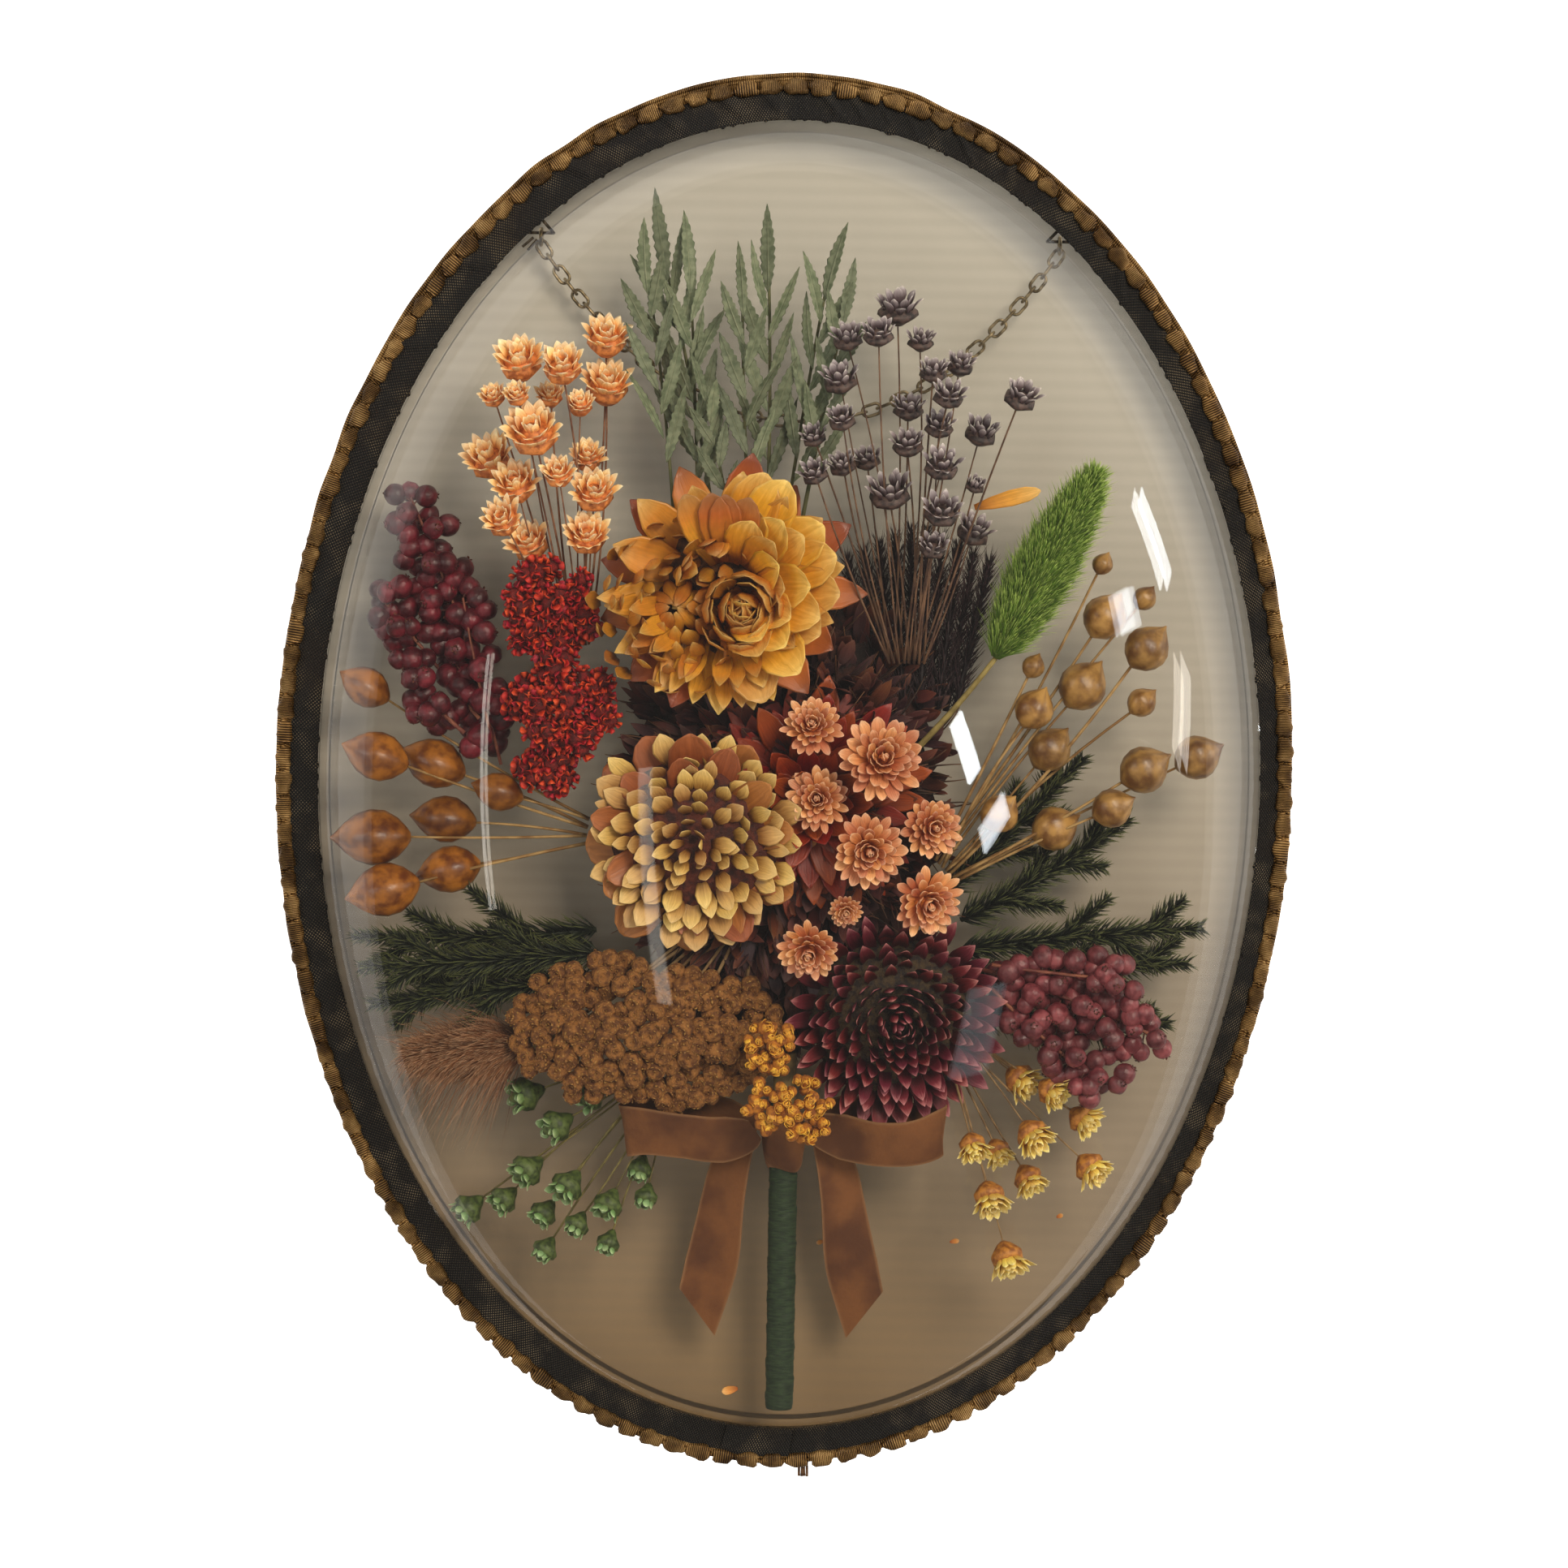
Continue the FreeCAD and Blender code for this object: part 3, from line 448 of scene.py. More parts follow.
def petal_look(name, stops, roughness=0.5, veins=0.35, spread=0.35, tones=None):
    """Dry petals: coloured along their length, streaked with veins, and each a little different."""
    look = Look(name, roughness)
    along, across, chance, tone = look.paint()
    grain = look.noise(1.0, 3.0, look.vector(look.times(across, 14.0), look.times(along, 1.6),
                                             look.times(chance, 40.0)))
    blotch = look.noise(700.0, 2.0)
    shifted = look.plus(along, look.times(look.less(grain, 0.5), 0.25), clamp=True)
    base = look.ramp(shifted, stops)
    if tones:
        base = look.mix(tone, base, look.ramp(shifted, tones))
    shade = look.plus(look.times(grain, 2 * veins), 1 - veins)
    shade = look.times(shade, look.plus(look.times(chance, spread), 1 - spread / 2))
    shade = look.times(shade, look.plus(look.times(blotch, 0.4), 0.8))
    hue = look.plus(look.times(chance, 0.024), 0.488)
    look.set(base=look.vary(base, hue, 1.0, shade))
    look.bump(grain, 0.08 * MM)
    return look.material


def plain_look(name, first, second, roughness=0.6, scale=500.0, relief=0.05, metal=0.0,
               contrast=(0.35, 0.65)):
    """A mottled surface between two colours, with fine relief in millimetres."""
    look = Look(name, roughness, Metallic=metal)
    mottle = look.noise(scale, 4.0)
    look.set(base=look.mix(look.steps(mottle, *contrast), first, second))
    look.bump(look.noise(scale * 2.5, 3.0), relief * MM)
    return look.material


# ---------------------------------------------------------------- camera, stage and lights
IMAGE_SIDE = 1932
OBJECT_ON_IMAGE = 1734               # height of the frame in the picture's own pixels
CAMERA_DISTANCE = 0.8
CAMERA_RISE = math.radians(4.0)
CAMERA_ROLL = math.radians(1.0)
WALL_Y = 0.05
CARD_Y = 0.007                       # behind the hanging chain
LAMP_DISTANCE = 0.9                  # of the lamps that the dome mirrors, from the dome
RIB_PITCH = 2.7 * MM                 # of the faint stripes of painted shade that stand for ribs on the card
FLOOR_Z = -0.175


def towards(place, target):
    return (Vector(target) - Vector(place)).to_track_quat("-Z", "Y")


def add_camera():
    """A camera a little above the middle, with the lens that gives the frame its height in the picture."""
    low, high = (np.array(corner) for corner in cad_box)
    target = np.array([0.0, low[1] * 0.1, (low[2] + high[2]) / 2])
    data = bpy.data.cameras.new("camera")
    camera = bpy.data.objects.new("camera", data)
    bpy.context.scene.collection.objects.link(camera)
    back = np.array([0, -math.cos(CAMERA_RISE), math.sin(CAMERA_RISE)])
    camera.location = target + back * CAMERA_DISTANCE
    camera.rotation_mode = "QUATERNION"
    camera.rotation_quaternion = towards(camera.location, target) @ Quaternion((0, 0, 1), CAMERA_ROLL)
    seen = (high[2] - low[2]) * IMAGE_SIDE / OBJECT_ON_IMAGE
    data.sensor_width = 36
    data.lens = data.sensor_width * CAMERA_DISTANCE / seen
    data.clip_start = 0.01
    bpy.context.scene.camera = camera
    return camera


def add_light(name, place, target, size, watts, tint, turn=0.0):
    """A soft rectangular lamp, turned in its own plane by an angle in degrees."""
    data = bpy.data.lights.new(name, "AREA")
    data.shape = "RECTANGLE"
    data.size, data.size_y = size
    data.energy = watts
    data.color = tint
    lamp = bpy.data.objects.new(name, data)
    bpy.context.scene.collection.objects.link(lamp)
    lamp.location = place
    lamp.rotation_mode = "QUATERNION"
    lamp.rotation_quaternion = towards(place, target) @ Quaternion((0, 0, 1), math.radians(turn))
    return lamp


def add_mirrored_lamp(name, camera, x, z, size, radiance, turn, tint):
    """A narrow lamp placed so that the dome mirrors it to the camera at a place (x, z) of its own front."""
    step = 0.5 * MM
    dome = the_dome()
    spot, beside, above = (dome.front_at(x + across, z + up) for across, up in ((0, 0), (step, 0), (0, step)))
    normal = unit(np.cross(above - spot, beside - spot))
    ray = unit(spot - np.array(camera.location))
    place = spot + (ray - 2 * (ray @ normal) * normal) * LAMP_DISTANCE
    watts = radiance * math.pi * size[0] * size[1]
    return add_light(name, place, spot, size, watts, tint, turn)


def hide_from_mirror(lamps, glasses):
    """Keeps the big soft lamps out of the glasses' reflections."""
    group = bpy.data.collections.new("not_mirrored")
    for glass in glasses:
        group.objects.link(glass)
    for entry in group.collection_objects:
        entry.light_linking.link_state = "EXCLUDE"
    for lamp in lamps:
        lamp.light_linking.receiver_collection = group


def one_sided(look):
    """Lets rays through from behind, so that a camera behind the sheet sees the object."""
    behind = look.node("ShaderNodeNewGeometry").outputs["Backfacing"]
    clear = look.node("ShaderNodeBsdfTransparent").outputs[0]
    mix = look.node("ShaderNodeMixShader", {0: behind, 1: look.surface.outputs[0], 2: clear})
    look.link(mix.outputs[0], look.output.inputs["Surface"])


def stage_sheet(name, look, corners):
    mesh = bpy.data.meshes.new(name)
    mesh.from_pydata([tuple(corner) for corner in corners], [], [tuple(range(len(corners)))])
    mesh.materials.append(look.material)
    sheet = bpy.data.objects.new(name, mesh)
    bpy.context.scene.collection.objects.link(sheet)
    return sheet


def add_stage():
    """A white wall and a pale floor, and behind the clear back a beige card like the wall seen through it,
    with painted shade that darkens it towards the bottom, painted light that lightens it to the right, and
    faint stripes of painted shade for the wall's ribs.
    """
    wall = Look("white_wall", 0.9)
    wall.surface.inputs["Base Color"].default_value = (0.8, 0.8, 0.8, 1)
    wall.surface.inputs["Emission Color"].default_value = (1.0, 1.0, 1.0, 1)
    wall.surface.inputs["Emission Strength"].default_value = 0.95
    one_sided(wall)
    floor = Look("pale_floor", 0.9)
    floor.surface.inputs["Base Color"].default_value = (0.5, 0.49, 0.47, 1)
    half = 2.0
    foot_left, foot_right = (-half, WALL_Y, FLOOR_Z), (half, WALL_Y, FLOOR_Z)
    stage_sheet("wall", wall, [foot_left, foot_right, (half, WALL_Y, half), (-half, WALL_Y, half)])
    ground = stage_sheet("floor", floor, [(-half, -half, FLOOR_Z), (half, -half, FLOOR_Z), foot_right,
                                          foot_left])
    ground.visible_glossy = False        # its mirror image would wash out the lower half of the dome
    low, high = box("back_glass")
    middle, reach = (low + high) / 2, (high - low)[[0, 2]] / 2
    card = Look("beige_card_painted_shade", 0.9)
    place = card.node("ShaderNodeSeparateXYZ", {"Vector": card.place()}).outputs
    # painted shade and light: the card darkens towards the bottom and lightens towards the right
    rise = card.steps(place["Z"], float(-reach[1] * 1.1), float(reach[1] * 0.7))
    right = card.steps(place["X"], float(reach[0] * 0.1), float(reach[0]))
    # painted shade: faint darker stripes stand for the shade of the wall's ribs
    ribs = card.steps(card.math("SINE", card.times(place["Z"], 2 * math.pi / RIB_PITCH)), -1.0, 1.0)
    base = card.mix(rise, (142, 118, 86), (206, 206, 202))
    base = card.mix(card.times(right, 0.2), base, (210, 206, 200))
    card.set(base=card.mix(card.times(ribs, 0.07), base, (110, 104, 96)))
    one_sided(card)
    stage_sheet("card", card, oval(reach, middle[[0, 2]], CARD_Y, -turns(120)))


def add_lights(camera, glasses):
    """A dim room, two soft lamps, and the bright panes and bars that the dome mirrors."""
    world = bpy.data.worlds.new("studio")
    world.use_nodes = True
    world.node_tree.nodes["Background"].inputs["Color"].default_value = (1.0, 0.97, 0.93, 1)
    world.node_tree.nodes["Background"].inputs["Strength"].default_value = 0.24
    bpy.context.scene.world = world
    bpy.context.scene.view_settings.view_transform = "Standard"
    soft = [add_light("key", (0.45, -1.1, 0.55), (0, 0, 0), (0.5, 0.5), 13, (1.0, 0.93, 0.84)),
            add_light("fill", (-0.8, -0.9, 0.25), (0, 0, 0), (0.6, 0.6), 3.4, (0.95, 0.97, 1.0))]
    hide_from_mirror(soft, glasses)
    warm, cool = (1.0, 0.95, 0.86), (0.86, 0.93, 1.0)
    for name, x, z, size, radiance, turn, tint in (
        ("high_right_bar", 0.0650, 0.0460, (0.09, 0.15), 28, 20, cool),
        ("right_corner", 0.0600, 0.0330, (0.13, 0.06), 16, 10, cool),
        ("side_stripe", 0.0710, 0.0150, (0.08, 0.16), 13, -30, warm),
        ("upper_bar", 0.0316, 0.0087, (0.035, 0.075), 31, 35, cool),
        ("lower_bar", 0.0370, -0.0045, (0.035, 0.075), 18, -55, cool),
        ("left_strip", -0.0535, 0.0010, (0.014, 0.34), 12, 4, warm),
        ("middle_strip", -0.0234, -0.0180, (0.030, 0.26), 3.2, 2, warm),
        ("low_pane", 0.0350, -0.0420, (0.10, 0.13), 1.5, 0, cool),
    ):
        add_mirrored_lamp(name, camera, x, z, size, radiance, turn, tint)


# ---------------------------------------------------------------- glass
GLASS_TINT = (0.97, 0.958, 0.935, 1)
HEAD_ON_SHARE = 0.022                # how much of the light a glass mirrors, seen straight on
SLANTED_SHARE = 0.1                  # how much more it mirrors at its edges


def glass_look(name, tint):
    """Clear glass that bends nothing: it passes light with a tint, and mirrors a small share of it."""
    look = Look(name)
    look.tree.nodes.remove(look.surface)
    clear = look.node("ShaderNodeBsdfTransparent", {"Color": tint})
    mirror = look.node("ShaderNodeBsdfGlossy", {"Color": (1, 1, 1, 1), "Roughness": 0.015})
    slant = look.math("POWER", look.node("ShaderNodeLayerWeight").outputs["Facing"], 5.0)
    share = look.plus(look.times(slant, SLANTED_SHARE), HEAD_ON_SHARE)
    mix = look.node("ShaderNodeMixShader", {0: share, 1: clear.outputs[0], 2: mirror.outputs[0]})
    look.link(mix.outputs[0], look.output.inputs["Surface"])
    return look.material


def oval(half, centre, y, turn):
    """Points round an upright oval, clockwise from its top as seen from the front."""
    x = centre[0] + half[0] * np.sin(turn)
    z = centre[1] + half[1] * np.cos(turn)
    return np.stack([x, np.broadcast_to(y, x.shape), z], axis=-1)


class Dome:
    """The bulged glass, measured from its CAD node."""

    def __init__(self):
        points = np.concatenate([solid.points for solid in solids("dome_glass")])
        low, high = box("dome_glass")
        self.base_y = high[1]
        self.lip_half = (high - low)[[0, 2]] / 2
        self.lip_y = box("binding_tape")[0][1] - box("back_glass")[1][1]
        risen = points[points[:, 1] < self.lip_y - 0.05 * MM]
        self.centre = (risen.max(0) + risen.min(0))[[0, 2]] / 2
        self.half = (risen.max(0) - risen.min(0))[[0, 2]] / 2
        self.height = self.base_y - low[1]
        self.thick = self.base_y - self.lip_y
        self.power = 2.4             # 2 would be an ellipsoid: more is steeper at the rim and flatter on top

    def front_at(self, x, z):
        """The point of the front above a place (x, z)."""
        share = np.hypot((x - self.centre[0]) / self.half[0], (z - self.centre[1]) / self.half[1])
        return np.array([x, self.base_y - self.height * (1 - share ** self.power) ** (1 / self.power), z])

    def point(self, tilt, turn, inset=0.0):
        """A point of the bulge: tilt is 0 at the crown and 90 degrees at the rim."""
        half = self.half - inset
        reach = np.sin(tilt) ** (2 / self.power)
        rise = (self.height - inset) * np.cos(tilt) ** (2 / self.power)
        return oval(half * reach, self.centre, self.base_y - rise, turn)

    def holds(self, paths):
        """Which paths (paths, points, 3) lie wholly in the room between the bulge and the flat back glass."""
        inset = self.thick + 0.3 * MM
        reach = np.hypot((paths[..., 0] - self.centre[0]) / (self.half[0] - inset),
                         (paths[..., 2] - self.centre[1]) / (self.half[1] - inset))
        rise = np.clip(self.base_y - paths[..., 1], 0, None) / (self.height - inset)
        clear = (reach ** self.power + rise ** self.power < 1) & (paths[..., 1] < self.base_y - 0.2 * MM)
        return clear.all(axis=1)


@functools.lru_cache
def the_dome():
    return Dome()


def make_glasses():
    """The bulge as one shell of even thickness with a flat lip, and the flat back glass."""
    dome = the_dome()
    shapes = Shapes()
    around = turns(240)
    tilts = np.linspace(0.004, math.pi / 2 - 1e-6, 64)       # from just beside the crown to the rim
    rows = [dome.point(tilt, around, dome.thick) for tilt in tilts]
    rows.append(oval(dome.lip_half, ORIGIN, dome.base_y, around))
    rows.append(oval(dome.lip_half, ORIGIN, dome.lip_y, around))
    rows += [dome.point(tilt, around) for tilt in tilts[::-1] if dome.point(tilt, around)[0, 1] < dome.lip_y]
    shapes.loft(np.array(rows)[None], np.full(4, 0.5))
    bulge = shapes.build("dome", [glass_look("dome_glass", GLASS_TINT)], ["dome_glass"],
                         crease=math.radians(35))
    coat("back_glass", glass_look("back_glass", GLASS_TINT))
    return bulge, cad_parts["back_glass"]


# ---------------------------------------------------------------- binding tape and braid
def wander(random, around, waves, low=3, high=40):
    """A smooth chance curve round the oval, of about unit height, that closes on itself."""
    counts = random.integers(low, high, waves)
    phases = random.uniform(0, 2 * math.pi, waves)
    curve = np.cos(np.outer(around, counts) + phases).sum(axis=1)
    return curve / math.sqrt(waves / 2)


def around_length(half):
    """The length round an oval, near enough."""
    return 2 * math.pi * math.sqrt((half ** 2).mean())


def add_belt(shapes, rows, turn, length, across, rest=0.5, closed=True):
    """A strip round the oval from its rows of points, painted with its length in metres and with across."""
    rings = np.stack(rows, axis=1)[None]
    paint = np.full(rings.shape[:3] + (4,), rest)
    paint[..., 0] = (turn / (2 * math.pi) * length)[None, :, None]
    paint[..., 1] = across
    shapes.loft(rings, paint, ring_closed=closed)


def tape_look():
    """Black woven tape: the crests of a fine weave painted pale grey as painted highlights, brighter in
    patches of wear, and rusty in patches.
    """
    look = Look("woven_tape", 0.85)
    along, across, _, _ = look.paint()
    threads = 2 * math.pi / (0.62 * MM)
    warp = look.math("SINE", look.times(along, threads))
    weft = look.math("SINE", look.times(across, threads))
    weave = look.times(warp, weft)
    worn = look.steps(look.noise(160.0, 4.0), 0.46, 0.66)
    # painted highlight: the crests of the weave are painted paler, more so where the tape is worn
    crest_highlight_and_wear = look.times(look.steps(weave, 0.1, 0.9), look.plus(look.times(worn, 0.8), 0.2))
    base = look.mix(crest_highlight_and_wear, (11, 8, 5), (112, 98, 76))
    rusty = look.mix(crest_highlight_and_wear, (24, 16, 8), (84, 72, 50))
    look.set(base=look.mix(look.steps(look.noise(60.0, 2.0), 0.5, 0.75), base, rusty))
    look.bump(look.times(weave, 0.5), 0.25 * MM)
    return look.material


def make_tape():
    """The tape as one folded strip: back flange, side, and a wrinkled front flange with a worn inner edge."""
    random = np.random.default_rng(11)
    low, high = box("binding_tape")
    lap_low, lap_high = box("tape_lap")
    dome = the_dome()
    half = (high - low)[[0, 2]] / 2
    thick = -box("back_glass")[1][1]
    back_inner = half - 3.8 * MM
    front_inner = dome.half + 0.3 * MM
    around = turns(2200)
    length = around_length(half)
    top = 0.5 + 0.5 * np.cos(around)
    folds = np.clip(wander(random, around, 30, 30, 120), 0.2, 2.5) - 0.2
    fray = 0.16 * MM * wander(random, around, 24, 30, 400)
    rows = []
    flats = []

    def add_row(row_half, centre, y, flat):
        rows.append(oval(row_half, centre, y, around))
        flats.append(flat)

    add_row(back_inner, ORIGIN, high[1] - thick * 0.98, 0.0)
    add_row(back_inner, ORIGIN, high[1], 0.0)
    add_row(half - 0.3 * MM, ORIGIN, high[1], 3.6 * MM)
    add_row(half, ORIGIN, high[1] - 0.3 * MM, 4.0 * MM)
    add_row(half, ORIGIN, low[1] + 0.4 * MM, 8.8 * MM)
    steps = 12
    for step in range(steps + 1):
        share = step / steps
        row_half = between(half - 0.2 * MM, front_inner, share)
        centre = between(np.zeros(2), dome.centre, share)
        slant = np.roll(folds, int(share * 16))
        lift = (0.10 + 0.42 * top ** 2) * MM * slant * math.sin(math.pi * min(share * 1.15, 1)) ** 0.7
        settle = 0.25 * MM * share
        edge = fray * (share == 1.0)
        add_row(row_half[:, None] + edge, centre, low[1] + settle - lift, 9.2 * MM + share * 5.6 * MM)
    add_row(front_inner, dome.centre, dome.lip_y - 0.02 * MM, 15.2 * MM)
    shapes = Shapes()
    add_belt(shapes, rows, around, length, flats)
    lap = np.linspace(lap_low[0], lap_high[0], 60)
    turn = math.pi - np.arcsin(np.clip(lap / half[0], -1, 1))[::-1]
    lap_inner = front_inner + 0.1 * MM
    lap_outer = half - 0.6 * MM
    rows = []
    for share in np.linspace(0, 1, 7):
        y = low[1] - 0.42 * MM - 0.18 * MM * np.sin(turn * 90 + 3 * share) * math.sin(math.pi * share)
        rows.append(oval(between(lap_outer, lap_inner, share), dome.centre * share, y, turn))
    rows.append(oval(lap_inner, dome.centre, low[1] - 0.02 * MM, turn))
    rows.append(oval(lap_outer, ORIGIN, low[1] - 0.02 * MM, turn))
    add_belt(shapes, rows, turn, length, np.linspace(9 * MM, 15 * MM, len(rows)), closed=False)
    shapes.build("woven_tape", [tape_look()], ["binding_tape", "tape_lap"])


def braid_look():
    """Tarnished gilt thread: ribs of twisted metal thread, dark in the grooves, with worn bright crests."""
    look = Look("gilt_braid", 0.5, Metallic=0.55)
    along, across, chance, _ = look.paint()
    rib = look.math("SINE", look.times(along, 2 * math.pi / (0.42 * MM)))
    grime = look.noise(260.0, 5.0)
    base = look.ramp(look.plus(look.times(rib, 0.16), look.times(grime, 0.84)),
                     [(0.25, (54, 36, 18)), (0.45, (125, 90, 43)), (0.62, (177, 134, 72)),
                      (0.85, (231, 193, 125))])
    look.set(base=look.uneven(base, chance, 0.35, 0.8, 0.95), rough=look.plus(look.times(grime, 0.4), 0.3))
    look.bump(look.plus(rib, look.times(grime, 2.0)), 0.12 * MM)
    return look.material


def make_braid():
    """The gimp braid: two corded edges on a flat band, and a row of knotted buttons on the tape's front."""
    random = np.random.default_rng(5)
    low, high = box("braid_band")
    half = (high - low)[[0, 2]] / 2
    centre = ((high + low) / 2)[[0, 2]]
    tape_low, tape_high = box("binding_tape")
    tape_half = (tape_high - tape_low)[[0, 2]] / 2
    around = turns(1500)
    uneven = 0.22 * MM * wander(random, around, 20, 4, 60)
    rows = []
    for span in np.linspace(0, 1, 12):
        cord = 0.45 * MM * (math.exp(-((span - 0.08) / 0.09) ** 2) + math.exp(-((span - 0.82) / 0.09) ** 2))
        wide = half + cord - 0.35 * MM
        y = between(high[1], low[1] - 0.1 * MM, span) + uneven * 0.5
        rows.append(oval(wide[:, None] + uneven * 0.6, centre, y, around))
    rows.append(oval(tape_half - 1.0 * MM, ORIGIN, low[1] - 0.2 * MM, around))
    rows.append(oval(tape_half + 0.05 * MM, ORIGIN, high[1], around))
    length = around_length(half)
    band = Shapes()
    add_belt(band, rows, around, length, np.linspace(0, 1, len(rows)))
    for inset, thick in ((0.25 * MM, 0.42 * MM), (1.0 * MM, 0.36 * MM)):
        strands = []
        for angle in turns(8):
            cord_half = half[:, None] - inset + thick * math.cos(angle) + 0.5 * uneven
            y = low[1] - 0.1 * MM + thick * math.sin(angle) + 0.3 * uneven
            strands.append(oval(cord_half, centre, y, around))
        add_belt(band, strands, around, length, 0.6, rest=0.6)
    look = braid_look()
    band.build("braid_band_cords", [look], ["braid_band"])
    buttons = Shapes()
    angle = turns(18)
    for solid in solids("braid_lobes"):
        middle = solid.centre
        inward = unit(np.array([-middle[0], 0, -middle[2] * (half[0] / half[1]) ** 2]))
        side = np.cross(inward, FRONT)
        size = random.uniform(0.9, 1.06)
        settle = 0.9 * MM * max(middle[2] / half[1], 0) ** 2       # at the top the cords show outside
        first, second = random.uniform(0, 6), random.uniform(0, 6)
        knots = 1 + 0.09 * np.cos(3 * angle + first) + 0.08 * np.cos(5 * angle + second)
        boxy = (np.abs(np.cos(angle)) ** 3 + np.abs(np.sin(angle)) ** 3) ** (-1 / 3)
        rows = []
        for tilt in np.linspace(0.08, math.pi * 0.5, 6):
            reach = math.sin(tilt) ** 0.7 * knots * boxy
            wide = 2.2 * MM * size * reach * np.cos(angle)
            tall = 1.45 * MM * size * reach * np.sin(angle)
            rise = 1.05 * MM * size * math.cos(tilt) ** 0.7
            rows.append(middle + inward * settle + side * wide[:, None] + inward * tall[:, None]
                        + FRONT * (rise - 0.25 * MM))
        rows.append(rows[-1] - FRONT * 0.5 * MM)
        rings = np.array(rows)[None]
        paint = np.empty(rings.shape[:3] + (4,))
        paint[..., 0] = (rings - middle) @ side * (1.3 + 0.4 * random.uniform(-1, 1))
        paint[..., 1] = np.linspace(0, 1, len(rows))[None, :, None]
        paint[..., 2] = random.uniform(0, 1)
        paint[..., 3] = 0.5
        buttons.loft(rings, paint)
    buttons.build("braid_buttons", [look], ["braid_lobes"])
    end_low, end_high = box("braid_end")
    tail = Shapes()
    middle = (end_low + end_high) / 2
    for strand in range(4):
        x = between(end_low[0], end_high[0], (strand + 0.5) / 4)
        start = np.array([[x, middle[1], end_high[2]]])
        end = np.array([[x + 0.1 * MM * (strand - 1.5), middle[1] + 0.1 * MM * (-1) ** strand, end_low[2]]])
        add_tubes(tail, bowed(start, end, 0.04, 7, random), 0.26 * MM, 7, random.uniform(0, 0.4), 0.2)
    frayed = plain_look("braid_tail", (48, 30, 18), (112, 78, 46), 0.75, 900.0)
    tail.build("braid_tail", [frayed], ["braid_end"])


# ---------------------------------------------------------------- chain and staples
def make_metals():
    """Looks for the chain and the staples, which keep their CAD shapes."""
    chain = plain_look("chain_metal", (92, 80, 60), (168, 154, 124), 0.38, 900.0, 0.04, 0.85)
    wire = plain_look("staple_wire", (36, 30, 24), (104, 94, 80), 0.5, 900.0, 0.03, 0.7)
    for node in ("chain_links", "chain_ring_left", "chain_ring_right"):
        coat(node, chain)
    for node in ("staple_left", "staple_right", "staple_wire_tail"):
        coat(node, wire)


# ---------------------------------------------------------------- star-shaped heads
def star_frame(solid):
    """Base, outward direction and radius of a small head: its CAD solid is a cone that opens to the front."""
    rim, axis = solid.front()
    depth = -((solid.points - rim) @ axis).min()
    return rim - axis * depth, axis, solid.reach(rim, axis), depth


def stem_look(name, first, second):
    return plain_look(name, first, second, 0.7, 300.0, 0.05)


def make_stars(bunch, cup_colours, petal_stops, stem_colours, whorls, cup_share=0.62, size=1.0, seed=1,
               cup=(0.1, 0.72)):
    """Every head of one bunch, with its husk, its petals and a thin bowed stem."""
    random = np.random.default_rng(seed)
    shapes = Shapes()
    husk = np.array([(0, 0.10), (0.12, 0.34), (0.3, 0.56), (0.5, cup_share), (0.7, cup_share * 0.95),
                     (0.85, 0.4), (1, 0.1)])
    for solid in solids(bunch + "_heads"):
        base, axis, radius, depth = star_frame(solid)
        radius, depth = radius * size, depth * size
        shapes.finish = 0
        profile = husk * np.array([1, radius])
        add_bodies(shapes, base - axis * cup[0] * radius, base + axis * depth * cup[1], profile, 12, 0.05, 6,
                   random.uniform(0, 1))
        shapes.finish = 1
        closed = 14 if radius < 2.5 * MM else 0
        own = [(count, start, height, length, width, rise + closed, curl + closed, tone)
               for count, start, height, length, width, rise, curl, tone in whorls]
        bloom(shapes, random, base + axis * depth * 0.30, axis, radius, own, POINTED, 0.3)
    looks = [plain_look(bunch + "_husk", *cup_colours, 0.55, 900.0, 0.06),
             petal_look(bunch + "_petals", petal_stops, roughness=0.48)]
    shapes.build(bunch + "_flowers", looks, [bunch + "_heads"])
    thin_stems(bunch + "_stems", stem_look(bunch + "_stem", *stem_colours), 0.2 * MM, seed)


def thin_stems(node, material, radius, seed=3, bow=0.03, sections=9):
    """Each straight CAD stem as a slightly bowed and tapered one."""
    random = np.random.default_rng(seed)
    ends = np.array([solid.long_axis() for solid in solids(node)])
    shapes = Shapes()
    paths = bowed(ends[:, 0], ends[:, 1], bow, sections, random)
    taper = radius * np.linspace(1.15, 0.85, sections)[None] * random.uniform(0.8, 1.2, (len(ends), 1))
    add_tubes(shapes, paths, taper, 6, random.uniform(0, 1, len(ends)))
    shapes.build(node + "_bowed", [material], [node])


